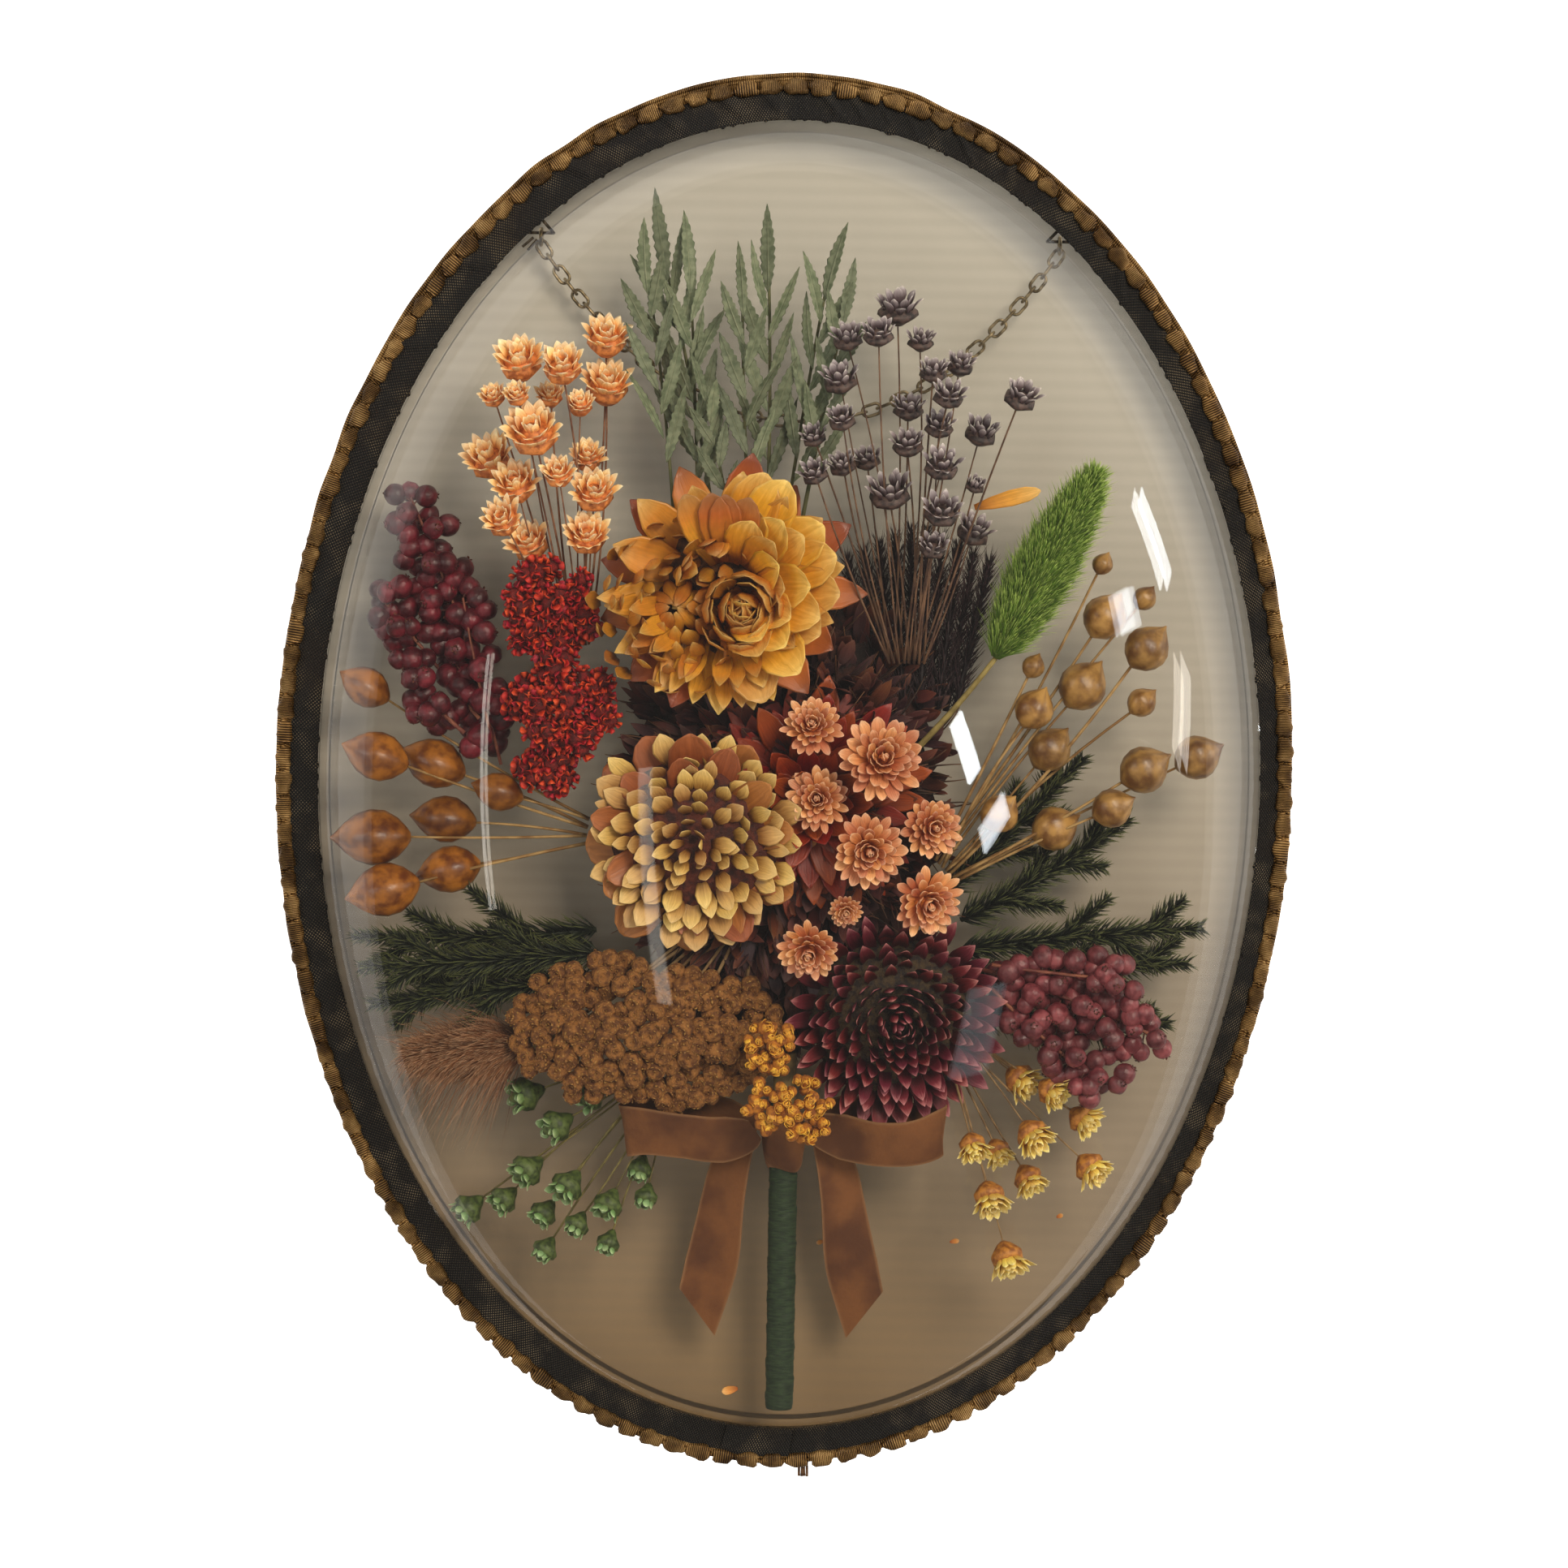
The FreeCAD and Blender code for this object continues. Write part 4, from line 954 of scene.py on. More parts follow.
def make_star_bunches():
    open_star = [(13, 0.56, 0.12, 0.84, 0.44, 62, -14, 0.2), (11, 0.44, 0.26, 0.74, 0.42, 72, -8, 0.5),
                 (9, 0.26, 0.36, 0.58, 0.36, 84, 0, 0.9)]
    make_stars("orange_star", ((160, 84, 34), (230, 144, 74)),
               [(0.0, (218, 124, 54)), (0.3, (246, 174, 98)), (0.7, (255, 216, 156)), (1.0, (255, 238, 200))],
               ((98, 62, 46), (146, 102, 72)), open_star, 0.78, 1.2, 21, (0.3, 0.8))
    tipped = [(9, 0.62, 0.26, 0.80, 0.44, 68, -20, 0.2), (7, 0.42, 0.34, 0.70, 0.40, 80, -6, 0.7)]
    make_stars("grey_star", ((38, 28, 28), (88, 68, 62)),
               [(0.0, (56, 42, 44)), (0.4, (92, 76, 80)), (0.75, (158, 146, 150)), (1.0, (218, 210, 206))],
               ((74, 52, 42), (116, 86, 64)), tipped, 0.86, 1.2, 22)
    make_stars("yellow_star", ((132, 76, 28), (190, 126, 50)),
               [(0.0, (190, 132, 40)), (0.4, (226, 186, 78)), (0.8, (242, 216, 120)), (1.0, (250, 234, 172))],
               ((104, 78, 48), (150, 120, 80)), open_star, 0.78, 1.3, 23, (0.35, 0.8))
    closed = [(7, 0.78, 0.62, 0.62, 0.66, 80, -22, 0.2), (5, 0.46, 0.72, 0.5, 0.5, 84, -8, 0.8)]
    make_stars("green_star", ((48, 60, 28), (88, 104, 52)),
               [(0.0, (84, 102, 52)), (0.4, (102, 134, 78)), (0.8, (150, 180, 122)), (1.0, (198, 218, 172))],
               ((84, 76, 40), (124, 112, 62)), closed, 0.98, 1.0, 24, (0.5, 1.3))


# ---------------------------------------------------------------- strawflowers
class Head:
    """Frame of a strawflower head from its CAD solid: centre of its widest part's plane, axis and radius."""

    def __init__(self, solid):
        eye, self.axis = solid.front()
        extent = -((solid.points - eye) @ self.axis).min()
        self.height = extent / 1.45
        self.radius = solid.reach(eye, self.axis)
        self.centre = eye - self.axis * self.height
        self.right, self.top = square_to(self.axis)

    def smaller(self, right, top, rise, share):
        """A head of its own inside this one: its centre in shares of the radius, and its size."""
        part = copy.copy(self)
        part.centre = self.at(right, top, rise)
        part.radius = self.radius * share
        return part

    def at(self, right, top, rise):
        """A point of the head, in shares of its radius."""
        return self.centre + self.radius * (self.right * right + self.top * top + self.axis * rise)


def rings_of_petals(rings, counts, starts, heights, lengths, widths, rises, curls, tone=0.3):
    """Whorls whose sizes run evenly from the outer ring to the inner: each size is a pair (outer, inner)."""
    ends = (starts, heights, lengths, widths, rises, curls)
    whorls = []
    for ring in range(rings):
        share = ring / (rings - 1)
        sizes = [between(outer, inner, share) for outer, inner in ends]
        whorls.append((round(between(*counts, share)), *sizes, tone))
    return whorls


def add_fan(shapes, random, head, first, last, count, start, height, length, width, rise, curl, tone,
            outline=POINTED,
            cup=0.25):
    """Petals over part of a head only: directions in degrees, anticlockwise from the right."""
    turn = np.radians(np.linspace(first, last, count) + random.normal(0, 4, count))
    out = np.outer(np.cos(turn), head.right) + np.outer(np.sin(turn), head.top)
    base = head.centre + head.radius * (out * start + head.axis * height)
    add_petals(shapes, base, out, np.broadcast_to(head.axis, (count, 3)),
               length * head.radius * random.uniform(0.92, 1.08, count), width * head.radius, np.radians(
                   rise + random.normal(0, 5, count)), np.radians(curl + random.normal(0, 6, count)),
               outline, random.uniform(0, 1, count), tone, cup)


def add_cushion(shapes, head, radius, height, chance=0.2, tone=0.5):
    """A low closed dome that fills the middle of a head, under its petals."""
    profile = np.array([(0, radius * 0.5), (0.3, radius), (0.6, radius * 0.86), (0.85, radius * 0.5),
                        (1, radius * 0.1)])
    start = head.centre - head.axis * height * 0.3
    add_bodies(shapes, start, head.centre + head.axis * height, profile, 24, 0.03, 8, chance, tone)


def make_golden():
    """The large golden head: wide outer petals, a crumpled dark hollow to the left and a closed bud in it."""
    random = np.random.default_rng(31)
    head = Head(solids("golden_strawflower")[0])
    shapes = Shapes()
    shapes.finish = 1
    add_cushion(shapes, head, head.radius * 0.6, head.radius * 0.25)
    shapes.finish = 0
    bloom(shapes, random, head.centre, head.axis, head.radius,
          [(13, 0.30, -0.02, 0.72, 0.34, 8, 6, 0.95), (14, 0.28, 0.06, 0.66, 0.30, 18, 8, 0.35)], POINTED,
          0.3)
    for layer in range(3):
        add_fan(shapes, random, head, -75 + 12 * layer, 78 - 8 * layer, 8 - layer, 0.2, 0.14 + 0.09 * layer,
                0.72 - 0.13 * layer, 0.40 - 0.04 * layer, 20 + 13 * layer, 8, 0.12, ROUNDED, 0.35)
    add_fan(shapes, random, head, 70, 112, 4, 0.18, 0.3, 0.62, 0.26, 40, -10, 0.75, ROUNDED)
    hollow = head.smaller(-0.36, -0.16, 0.02, 0.62)
    shapes.finish = 1
    add_cushion(shapes, hollow, hollow.radius * 0.5, hollow.radius * 0.3)
    shapes.finish = 0
    bloom(shapes, random, hollow.centre, hollow.axis, hollow.radius,
          rings_of_petals(5, (20, 9), (0.98, 0.36), (0.0, 0.28), (0.72, 0.50), (0.22, 0.20), (66, 100),
                          (26, 44), 0.5),
          POINTED, 0.35)
    add_fan(shapes, random, head, 95, 175, 8, 0.3, 0.34, 0.5, 0.16, 60, 60, 0.6, NARROW)
    add_fan(shapes, random, head, 195, 285, 11, 0.42, 0.16, 0.52, 0.16, 34, 20, 0.5, POINTED)
    add_fan(shapes, random, head, 185, 300, 11, 0.5, 0.06, 0.5, 0.18, 20, 16, 0.3, POINTED)
    bud = head.smaller(0.14, -0.2, 0.30, 0.36)
    bloom(shapes, random, bud.centre, bud.axis, bud.radius,
          rings_of_petals(6, (8, 5), (0.82, 0.10), (0.0, 0.35), (1.1, 0.8), (0.72, 0.5), (66, 86), (44, 24),
                          0.45), ROUNDED, 0.4)
    petals = petal_look("golden_petals",
                        [(0.0, (114, 59, 11)), (0.3, (196, 122, 21)), (0.7, (220, 156, 42)),
                         (1.0, (234, 194, 106))],
                        0.38, 0.3,
                        tones=[(0.0, (142, 80, 17)), (0.45, (203, 139, 51)), (0.72, (180, 91, 42)),
                               (1.0, (116, 44, 28))])
    dark = plain_look("golden_depths", (55, 32, 15), (99, 63, 28), 0.8, 700.0, 0.3)
    shapes.build("golden_bloom", [petals, dark], ["golden_strawflower"])


def make_cream():
    """A flat cream head of small narrow petals on a rust-brown outer ring."""
    random = np.random.default_rng(32)
    head = Head(solids("cream_strawflower")[0])
    shapes = Shapes()
    shapes.finish = 1
    add_cushion(shapes, head, head.radius * 0.82, head.radius * 0.22)
    shapes.finish = 2
    bloom(shapes, random, head.centre, head.axis, head.radius,
          [(12, 0.35, -0.12, 0.78, 0.42, 2, 8, 0.2), (11, 0.3, -0.04, 0.7, 0.36, 12, 8, 0.2)], ROUNDED, 0.3)
    shapes.finish = 0
    bloom(shapes, random, head.centre, head.axis, head.radius,
          rings_of_petals(8, (20, 6), (0.76, 0.08), (0.05, 0.24), (0.32, 0.26), (0.23, 0.13), (16, 60),
                          (4, 10)),
          POINTED, 0.12, jitter=1.6)
    petals = petal_look("cream_petals",
                        [(0.0, (78, 40, 18)), (0.3, (150, 104, 48)), (0.65, (202, 160, 90)),
                         (1.0, (224, 190, 124))],
                        0.45, 0.3)
    ground = plain_look("cream_depths", (46, 14, 8), (88, 36, 16), 0.8, 700.0, 0.3)
    rust = petal_look("rust_brown_petals", [(0.0, (84, 36, 16)), (0.6, (146, 82, 38)), (1.0, (170, 104, 56))],
                      0.45)
    shapes.build("cream_bloom", [petals, ground, rust], ["cream_strawflower"])


def make_burgundy():
    """A dark head of many fine pale-tipped petals."""
    random = np.random.default_rng(33)
    head = Head(solids("burgundy_strawflower")[0])
    shapes = Shapes()
    shapes.finish = 1
    add_cushion(shapes, head, head.radius * 0.8, head.radius * 0.3)
    shapes.finish = 0
    bloom(shapes, random, head.centre, head.axis, head.radius,
          rings_of_petals(10, (30, 8), (0.66, 0.08), (-0.04, 0.34), (0.46, 0.24), (0.17, 0.1), (18, 78),
                          (26, 30)),
          POINTED, 0.35)
    petals = petal_look("burgundy_petals",
                        [(0.0, (22, 6, 8)), (0.5, (62, 14, 22)), (0.78, (112, 40, 50)),
                         (1.0, (186, 116, 116))],
                        0.42, 0.25)
    ground = plain_look("burgundy_depths", (30, 18, 14), (66, 50, 26), 0.8, 900.0, 0.3)
    shapes.build("burgundy_bloom", [petals, ground], ["burgundy_strawflower"])


def make_rust():
    """A small red-brown head, half hidden."""
    random = np.random.default_rng(34)
    head = Head(solids("rust_strawflower")[0])
    shapes = Shapes()
    add_cushion(shapes, head, head.radius * 0.5, head.height)
    bloom(shapes, random, head.centre, head.axis, head.radius,
          rings_of_petals(6, (22, 8), (0.5, 0.1), (-0.05, 0.16), (0.95, 0.5), (0.34, 0.3), (2, 40), (6, 14)),
          POINTED, 0.2)
    petals = petal_look("rust_petals", [(0.0, (58, 12, 6)), (0.5, (112, 30, 10)), (1.0, (150, 56, 20))], 0.42)
    shapes.build("rust_bloom", [petals], ["rust_strawflower"])


def make_peach():
    """Small peach heads with closed middles."""
    random = np.random.default_rng(35)
    shapes = Shapes()
    whorls = rings_of_petals(5, (19, 8), (0.36, 0.06), (0.0, 0.46), (0.84, 0.4), (0.33, 0.24), (6, 74),
                             (24, 30))
    for solid in solids("peach_everlastings"):
        head = Head(solid)
        shapes.finish = 1
        add_cushion(shapes, head, head.radius * 0.5, head.radius * 0.45)
        shapes.finish = 0
        bloom(shapes, random, head.centre + head.axis * 0.1 * head.radius, head.axis, head.radius, whorls,
              ROUNDED, 0.35)
    petals = petal_look("peach_petals",
                        [(0.0, (150, 66, 28)), (0.4, (204, 120, 70)), (0.8, (222, 154, 108)),
                         (1.0, (236, 184, 146))],
                        0.48)
    ground = plain_look("peach_depths", (150, 62, 20), (206, 112, 40), 0.8, 900.0, 0.3)
    shapes.build("peach_blooms", [petals, ground], ["peach_everlastings"])


# ---------------------------------------------------------------- clusters of small florets
def balls_of(node):
    """The centre and radius of each ball of a CAD node."""
    boxes = [(solid.points.min(0), solid.points.max(0)) for solid in solids(node)]
    return [((low + high) / 2, (high - low).mean() / 2) for low, high in boxes]


def ball_directions(count, random):
    """Directions spread evenly over a ball, turned by chance."""
    number = np.arange(count) + 0.5
    tilt = np.arccos(1 - 2 * number / count)
    turn = number * GOLDEN_ANGLE + random.uniform(0, 6.28)
    return np.stack([np.sin(tilt) * np.cos(turn), -np.cos(tilt), np.sin(tilt) * np.sin(turn)], axis=1)


def add_tuft(shapes, random, centre, radius, count, core, width, outline, cup, tone=0.5,
             section=PETAL_SECTION):
    """Short petals that stand out all round a ball."""
    out = unit(ball_directions(count, random) + random.normal(0, 0.12, (count, 3)))
    up = unit(np.cross(out, random.normal(size=(count, 3))))
    add_petals(shapes, centre + out * radius * core, out, up,
               radius * (1.12 - core) * random.uniform(0.85, 1.15, count),
               radius * width, 0.0, random.normal(0, 0.4, count), outline, random.uniform(0, 1, count), tone,
               cup,
               0.08 * MM, section)


def add_ball(shapes, centre, radius, chance):
    """A small ball."""
    tilt = np.linspace(0.12, math.pi - 0.12, 7)
    profile = np.stack([(1 - np.cos(tilt)) / 2, radius * np.sin(tilt)], axis=1)
    add_bodies(shapes, centre - FRONT * radius, centre + FRONT * radius, profile, 10, 0.05, 3, chance)


def crowd(balls, random, reach, near, joined=2):
    """Adds balls in the gaps of a cluster: more than joined balls are in reach of each, and none too near."""
    centres = np.array([centre for centre, _ in balls])
    size = np.mean([radius for _, radius in balls])
    added = []
    for centre, radius in balls:
        for turn in turns(8) + random.uniform(0, 0.8):
            place = np.array([math.cos(turn), random.uniform(-0.2, 0.5), math.sin(turn)])
            spot = centre + size * (near + 0.12) * place
            taken = np.array([*centres, *added])
            around = np.linalg.norm(centres - spot, axis=1) < reach * size
            gap = np.linalg.norm((taken - spot)[:, [0, 2]], axis=1).min()
            if gap > near * size and around.sum() > joined:
                added.append(spot)
    return balls + [(spot, size * random.uniform(0.8, 1.0)) for spot in added]


def make_celosia():
    """A red crest of small tufts."""
    random = np.random.default_rng(41)
    shapes = Shapes()
    balls = crowd(balls_of("red_celosia"), random, 3.4, 0.95)
    for centre, radius in balls:
        shapes.finish = 1
        add_ball(shapes, centre, radius * 0.8, random.uniform(0, 1))
        shapes.finish = 0
        add_tuft(shapes, random, centre, radius * 1.25, 24, 0.6, 0.66, ROUNDED, -0.6, section=THIN_SECTION)
    stops = [(0.0, (104, 10, 7)), (0.5, (180, 30, 17)), (1.0, (216, 54, 34))]
    petals = petal_look("celosia_florets", stops, 0.55, 0.4, 0.6)
    ground = plain_look("celosia_depths", (70, 8, 8), (120, 20, 14), 0.8, 900.0, 0.3)
    shapes.build("celosia_crests", [petals, ground], ["red_celosia"])


def make_gold_florets():
    """A dome of tiny golden flowers."""
    random = np.random.default_rng(42)
    shapes = Shapes()
    balls = crowd(balls_of("gold_florets"), random, 3.8, 1.05)
    for centre, radius in balls:
        shapes.finish = 1
        add_ball(shapes, centre, radius * 0.95, random.uniform(0, 1))
        shapes.finish = 0
        facing = unit(FRONT + random.normal(0, 0.45, 3))
        bloom(shapes, random, centre - facing * radius * 0.4, facing, radius * 1.25,
              [(6, 0.42, 0.0, 1.35, 0.95, 72, 34, 0.3), (5, 0.2, 0.2, 1.2, 0.8, 84, 24, 0.7)], ROUNDED, 0.45)
    stops = [(0.0, (128, 70, 12)), (0.5, (204, 132, 28)), (1.0, (236, 178, 66))]
    petals = petal_look("gold_floret_petals", stops, 0.5, 0.3, 0.4)
    ground = plain_look("gold_depths", (120, 66, 16), (180, 112, 30), 0.8, 900.0, 0.3)
    shapes.build("gold_floret_dome", [petals, ground], ["gold_florets"])


def make_yarrow():
    """Flat-topped heads of small round bobbles, each with a fuzzy rim round a dimple."""
    random = np.random.default_rng(43)
    shapes = Shapes()
    balls = crowd(balls_of("yarrow_bobbles"), random, 4.8, 1.5)
    balls = crowd(balls, random, 3.6, 1.35, joined=3)
    balls = [(centre, radius * 1.24) for centre, radius in balls]
    cup = np.array([(0, 0.3), (0.12, 0.7), (0.35, 0.97), (0.62, 1.0), (0.84, 0.86), (0.97, 0.6), (0.9, 0.3),
                    (0.82, 0.06)])
    for centre, radius in balls:
        facing = unit(FRONT + 0.35 * unit(centre - HEART) + random.normal(0, 0.28, 3))
        shapes.finish = 1
        add_bodies(shapes, centre - facing * radius, centre + facing * radius * 0.95,
                   cup * np.array([1, radius * 0.98]), 12,
                   0.05, 7, random.uniform(0, 1))
        shapes.finish = 0
        bloom(shapes, random, centre + facing * radius * 0.5, facing, radius,
              [(11, 0.86, -0.3, 0.42, 0.36, 62, 40, 0.2), (9, 0.62, 0.2, 0.3, 0.32, 66, 40, 0.9),
               (3, 0.14, 0.05, 0.3, 0.3, 78, 10, 0.1)], ROUNDED, 0.2, THIN_SECTION, 1.6)
    stops = [(0.0, (89, 52, 19)), (0.6, (144, 96, 45)), (1.0, (177, 132, 74))]
    petals = petal_look("yarrow_florets", stops, 0.75, 0.3, 0.4)
    ground = plain_look("yarrow_depths", (89, 53, 22), (144, 96, 45), 0.85, 900.0, 0.3)
    shapes.build("yarrow_heads", [petals, ground], ["yarrow_bobbles"])
    thin_stems("yarrow_stems", stem_look("yarrow_stem", (114, 84, 50), (162, 129, 86)), 0.32 * MM, 43)


# ---------------------------------------------------------------- berries and pods
def make_berry_spray(name, first, second, seed):
    """Dried berries, each a little shrunken, with a short dark calyx."""
    random = np.random.default_rng(seed)
    stems = solids(name + "_berry_stems")
    rods = np.array([stem.long_axis() for stem in stems])
    shapes = Shapes()
    links = []
    balls = crowd(balls_of(name + "_berries"), random, 3.2, 1.05, joined=3)
    run = rods[:, 1] - rods[:, 0]
    for centre, radius in balls:
        along = np.clip(((centre - rods[:, 0]) * run).sum(1) / (run ** 2).sum(1), 0, 1)
        nearest = rods[:, 0] + run * along[:, None]
        stem = nearest[np.linalg.norm(nearest - centre, axis=1).argmin()]
        out = unit(centre - stem)
        shapes.finish = 0
        tilt = np.linspace(0.1, math.pi - 0.16, 9)
        profile = np.stack([(1 - np.cos(tilt)) / 2, radius * 1.02 * np.sin(tilt) ** 0.9], axis=1)
        facing = unit(out + random.normal(0, 0.35, 3))
        add_bodies(shapes, centre - facing * radius, centre + facing * radius * 1.1, profile, 14,
                   random.uniform(0.04, 0.09), random.integers(3, 6), random.uniform(0, 1))
        shapes.finish = 1
        bloom(shapes, random, centre + facing * radius * 0.95, facing, radius,
              [(5, 0.06, 0.0, 0.42, 0.26, 48, -20, 0.5)],
              POINTED, 0.1, THIN_SECTION)
        links.append((stem - (stem - rods[0, 0]) * 0.02, centre - out * radius * 0.7))
    links = np.array(links)
    shapes.finish = 1
    add_tubes(shapes, bowed(links[:, 0], links[:, 1], 0.1, 5, random), 0.16 * MM, 5, 0.4)
    skin = Look(name + "_skin", 0.42)
    _, _, chance, _ = skin.paint()
    bloomy = skin.noise(420.0, 4.0)
    base = skin.mix(skin.steps(bloomy, 0.35, 0.7), first, second)
    skin.set(base=skin.uneven(base, chance, 0.6, 0.7))
    skin.bump(skin.noise(900.0, 3.0), 0.25 * MM)
    calyx = plain_look(name + "_calyx", (52, 20, 16), (96, 48, 36), 0.7, 900.0)
    shapes.build(name + "_berry_cluster", [skin.material, calyx], [name + "_berries"])
    thin_stems(name + "_berry_stems", stem_look(name + "_twig", (92, 40, 34), (140, 84, 62)), 0.3 * MM, seed)


def make_pods():
    """Seed capsules: fluted, drawn out to a sharp tip, and held by a few narrow sepals."""
    for name, lobes, ripple, first, second, profile, seed in (
        ("flax", 5, 0.045, (96, 61, 24), (165, 125, 67),
         [(0, 0.12), (0.04, 0.3), (0.12, 0.62), (0.25, 0.86), (0.42, 0.98), (0.58, 0.92), (0.74, 0.66),
          (0.86, 0.34),
          (0.94, 0.12), (1, 0.03)], 51),
        ("amber", 4, 0.07, (88, 45, 14), (157, 98, 35),
         [(0, 0.14), (0.05, 0.36), (0.16, 0.7), (0.32, 0.96), (0.5, 1.0), (0.68, 0.84), (0.82, 0.54),
          (0.92, 0.24),
          (1, 0.03)], 52),
    ):
        random = np.random.default_rng(seed)
        stem_ends = np.array([solid.long_axis() for solid in solids(name + "_stems")]).reshape(-1, 3)
        shapes = Shapes()
        for solid in solids(name + "_pods"):
            ends = solid.long_axis()
            gaps = [np.linalg.norm(stem_ends - end, axis=1).min() for end in ends]
            start, end = ends if gaps[0] < gaps[1] else ends[::-1]
            radius = solid.girth()
            shapes.finish = 0
            add_bodies(shapes, start, end, np.array(profile) * np.array([1, radius]), 20, ripple, lobes,
                       random.uniform(0, 1))
            shapes.finish = 1
            axis = unit(end - start)
            bloom(shapes, random, start + axis * radius * 0.12, axis, radius,
                  [(5, 0.18, 0.0, 1.15, 0.42, 42, 34, 0.5)], POINTED, 0.3)
        skin = Look(name + "_husk_skin", 0.36)
        _, across, chance, _ = skin.paint()
        mottle = skin.noise(360.0, 4.0)
        seam = skin.steps(across, 0.55, 1.0)
        base = skin.mix(skin.steps(mottle, 0.3, 0.7), first, second)
        base = skin.mix(skin.times(seam, 0.35), base, (69, 38, 16))
        skin.set(base=skin.uneven(base, chance, 0.45, 0.8))
        skin.bump(skin.noise(1200.0, 2.0), 0.05 * MM)
        sepal = petal_look(name + "_sepals", [(0.0, first), (1.0, second)])
        shapes.build(name + "_capsules", [skin.material, sepal], [name + "_pods"])
        thin_stems(name + "_stems", stem_look(name + "_stem", (120, 86, 43), (165, 133, 83)), 0.27 * MM, seed,
                   0.04)


# ---------------------------------------------------------------- leaves, needles and hairs
def serrated(teeth, depth):
    """Outline of a narrow leaf with saw-like teeth that point to its tip."""
    steps = teeth * 3
    share = np.arange(steps + 1) / steps
    body = np.sin(math.pi * np.clip(share, 0, 1) ** 0.85) ** 0.8
    saw = 1 - depth * ((np.arange(steps + 1) % 3) / 2.0)[::-1]
    width = np.maximum(body * saw, 0.05)
    width[-1] = 0.03
    return np.stack([share, width], axis=1)


def make_leaves():
    """Grey-green leaves with saw-like edges and a pale midrib."""
    random = np.random.default_rng(61)
    look = Look("sage_leaf_skin", 0.62)
    _, across, chance, _ = look.paint()
    rib = look.math("ABSOLUTE", look.less(across, 0.5))
    midrib = look.less(1.0, look.steps(rib, 0.0, 0.09))
    felt = look.noise(800.0, 4.0)
    base = look.mix(look.steps(felt, 0.3, 0.7), (81, 93, 65), (120, 128, 99))
    base = look.mix(look.times(midrib, 0.5), base, (144, 150, 118))
    look.set(base=look.uneven(base, chance, 0.5, 0.72, 0.95))
    look.bump(look.plus(midrib, felt), 0.15 * MM)
    outline = serrated(10, 0.24)
    for side in ("left", "right"):
        shapes = Shapes()
        blades = solids("sage_leaves_" + side)
        count = len(blades)
        ends = [sorted(blade.long_axis(), key=lambda end: end[2]) for blade in blades]
        base_points = np.array([end[0] for end in ends])
        run = np.array([end[1] - end[0] for end in ends])
        length = np.linalg.norm(run, axis=1) * 1.06
        tilt = random.normal(0, 0.35, (count, 3)) * [1, 0, 0.3]
        up = unit(FRONT + tilt)
        out = unit(run)
        up = unit(up - out * (up * out).sum(1)[:, None])
        add_petals(shapes, base_points, out, up, length, 3.0 * MM * random.uniform(0.7, 1.1, count),
                   random.normal(0, 0.06, count), random.normal(0.1, 0.3, count), outline,
                   random.uniform(0, 1, count), 0.5, 0.25, 0.06 * MM)
        shapes.build("serrated_leaves_" + side, [look.material], ["sage_leaves_" + side])
    thin_stems("sage_stems", stem_look("sage_stalk", (65, 70, 39), (104, 104, 67)), 0.34 * MM, 61, 0.02)


def add_needles(shapes, random, path, count, length, lean, radius, tone=0.5):
    """Needles all round a path (points, 3), at an angle of lean degrees to it, and shorter at its tip."""
    share = (np.arange(count) + random.uniform(0, 1, count)) / count
    steps = np.linspace(0, 1, len(path))
    base = np.stack([np.interp(share, steps, path[:, column]) for column in range(3)], axis=1)
    heading = unit(np.gradient(path, axis=0))
    heading = unit(np.stack([np.interp(share, steps, heading[:, column]) for column in range(3)], axis=1))
    first = unit(np.cross(heading, UP + 0.01))
    second = np.cross(heading, first)
    turn = np.arange(count) * GOLDEN_ANGLE + random.normal(0, 0.3, count)
    away = first * np.cos(turn)[:, None] + second * np.sin(turn)[:, None]
    angle = np.radians(lean + random.normal(0, 7, count))[:, None]
    out = heading * np.cos(angle) + away * np.sin(angle)
    size = length * (1.05 - 0.55 * share ** 2) * random.uniform(0.8, 1.2, count)
    curl = heading * 0.18
    middle = base + (out + 0.25 * curl) * size[:, None] * 0.5
    tip = base + (out + curl) * size[:, None]
    paths = np.stack([base, middle, tip], axis=1)
    thickness = radius * np.array([1.0, 0.8, 0.12])[None] * random.uniform(0.8, 1.2, (count, 1))
    kept = the_dome().holds(paths)
    add_tubes(shapes, paths[kept], thickness[kept], 3, random.uniform(0, 1, count)[kept], tone)


def needle_look(name, dark, light):
    """Fine strands that grow paler to their tips."""
    look = Look(name, 0.6)
    along, _, chance, _ = look.paint()
    base = look.ramp(along, [(0.0, dark), (0.55, dark), (1.0, light)])
    look.set(base=look.uneven(base, chance, 0.8, 0.6))
    return look.material


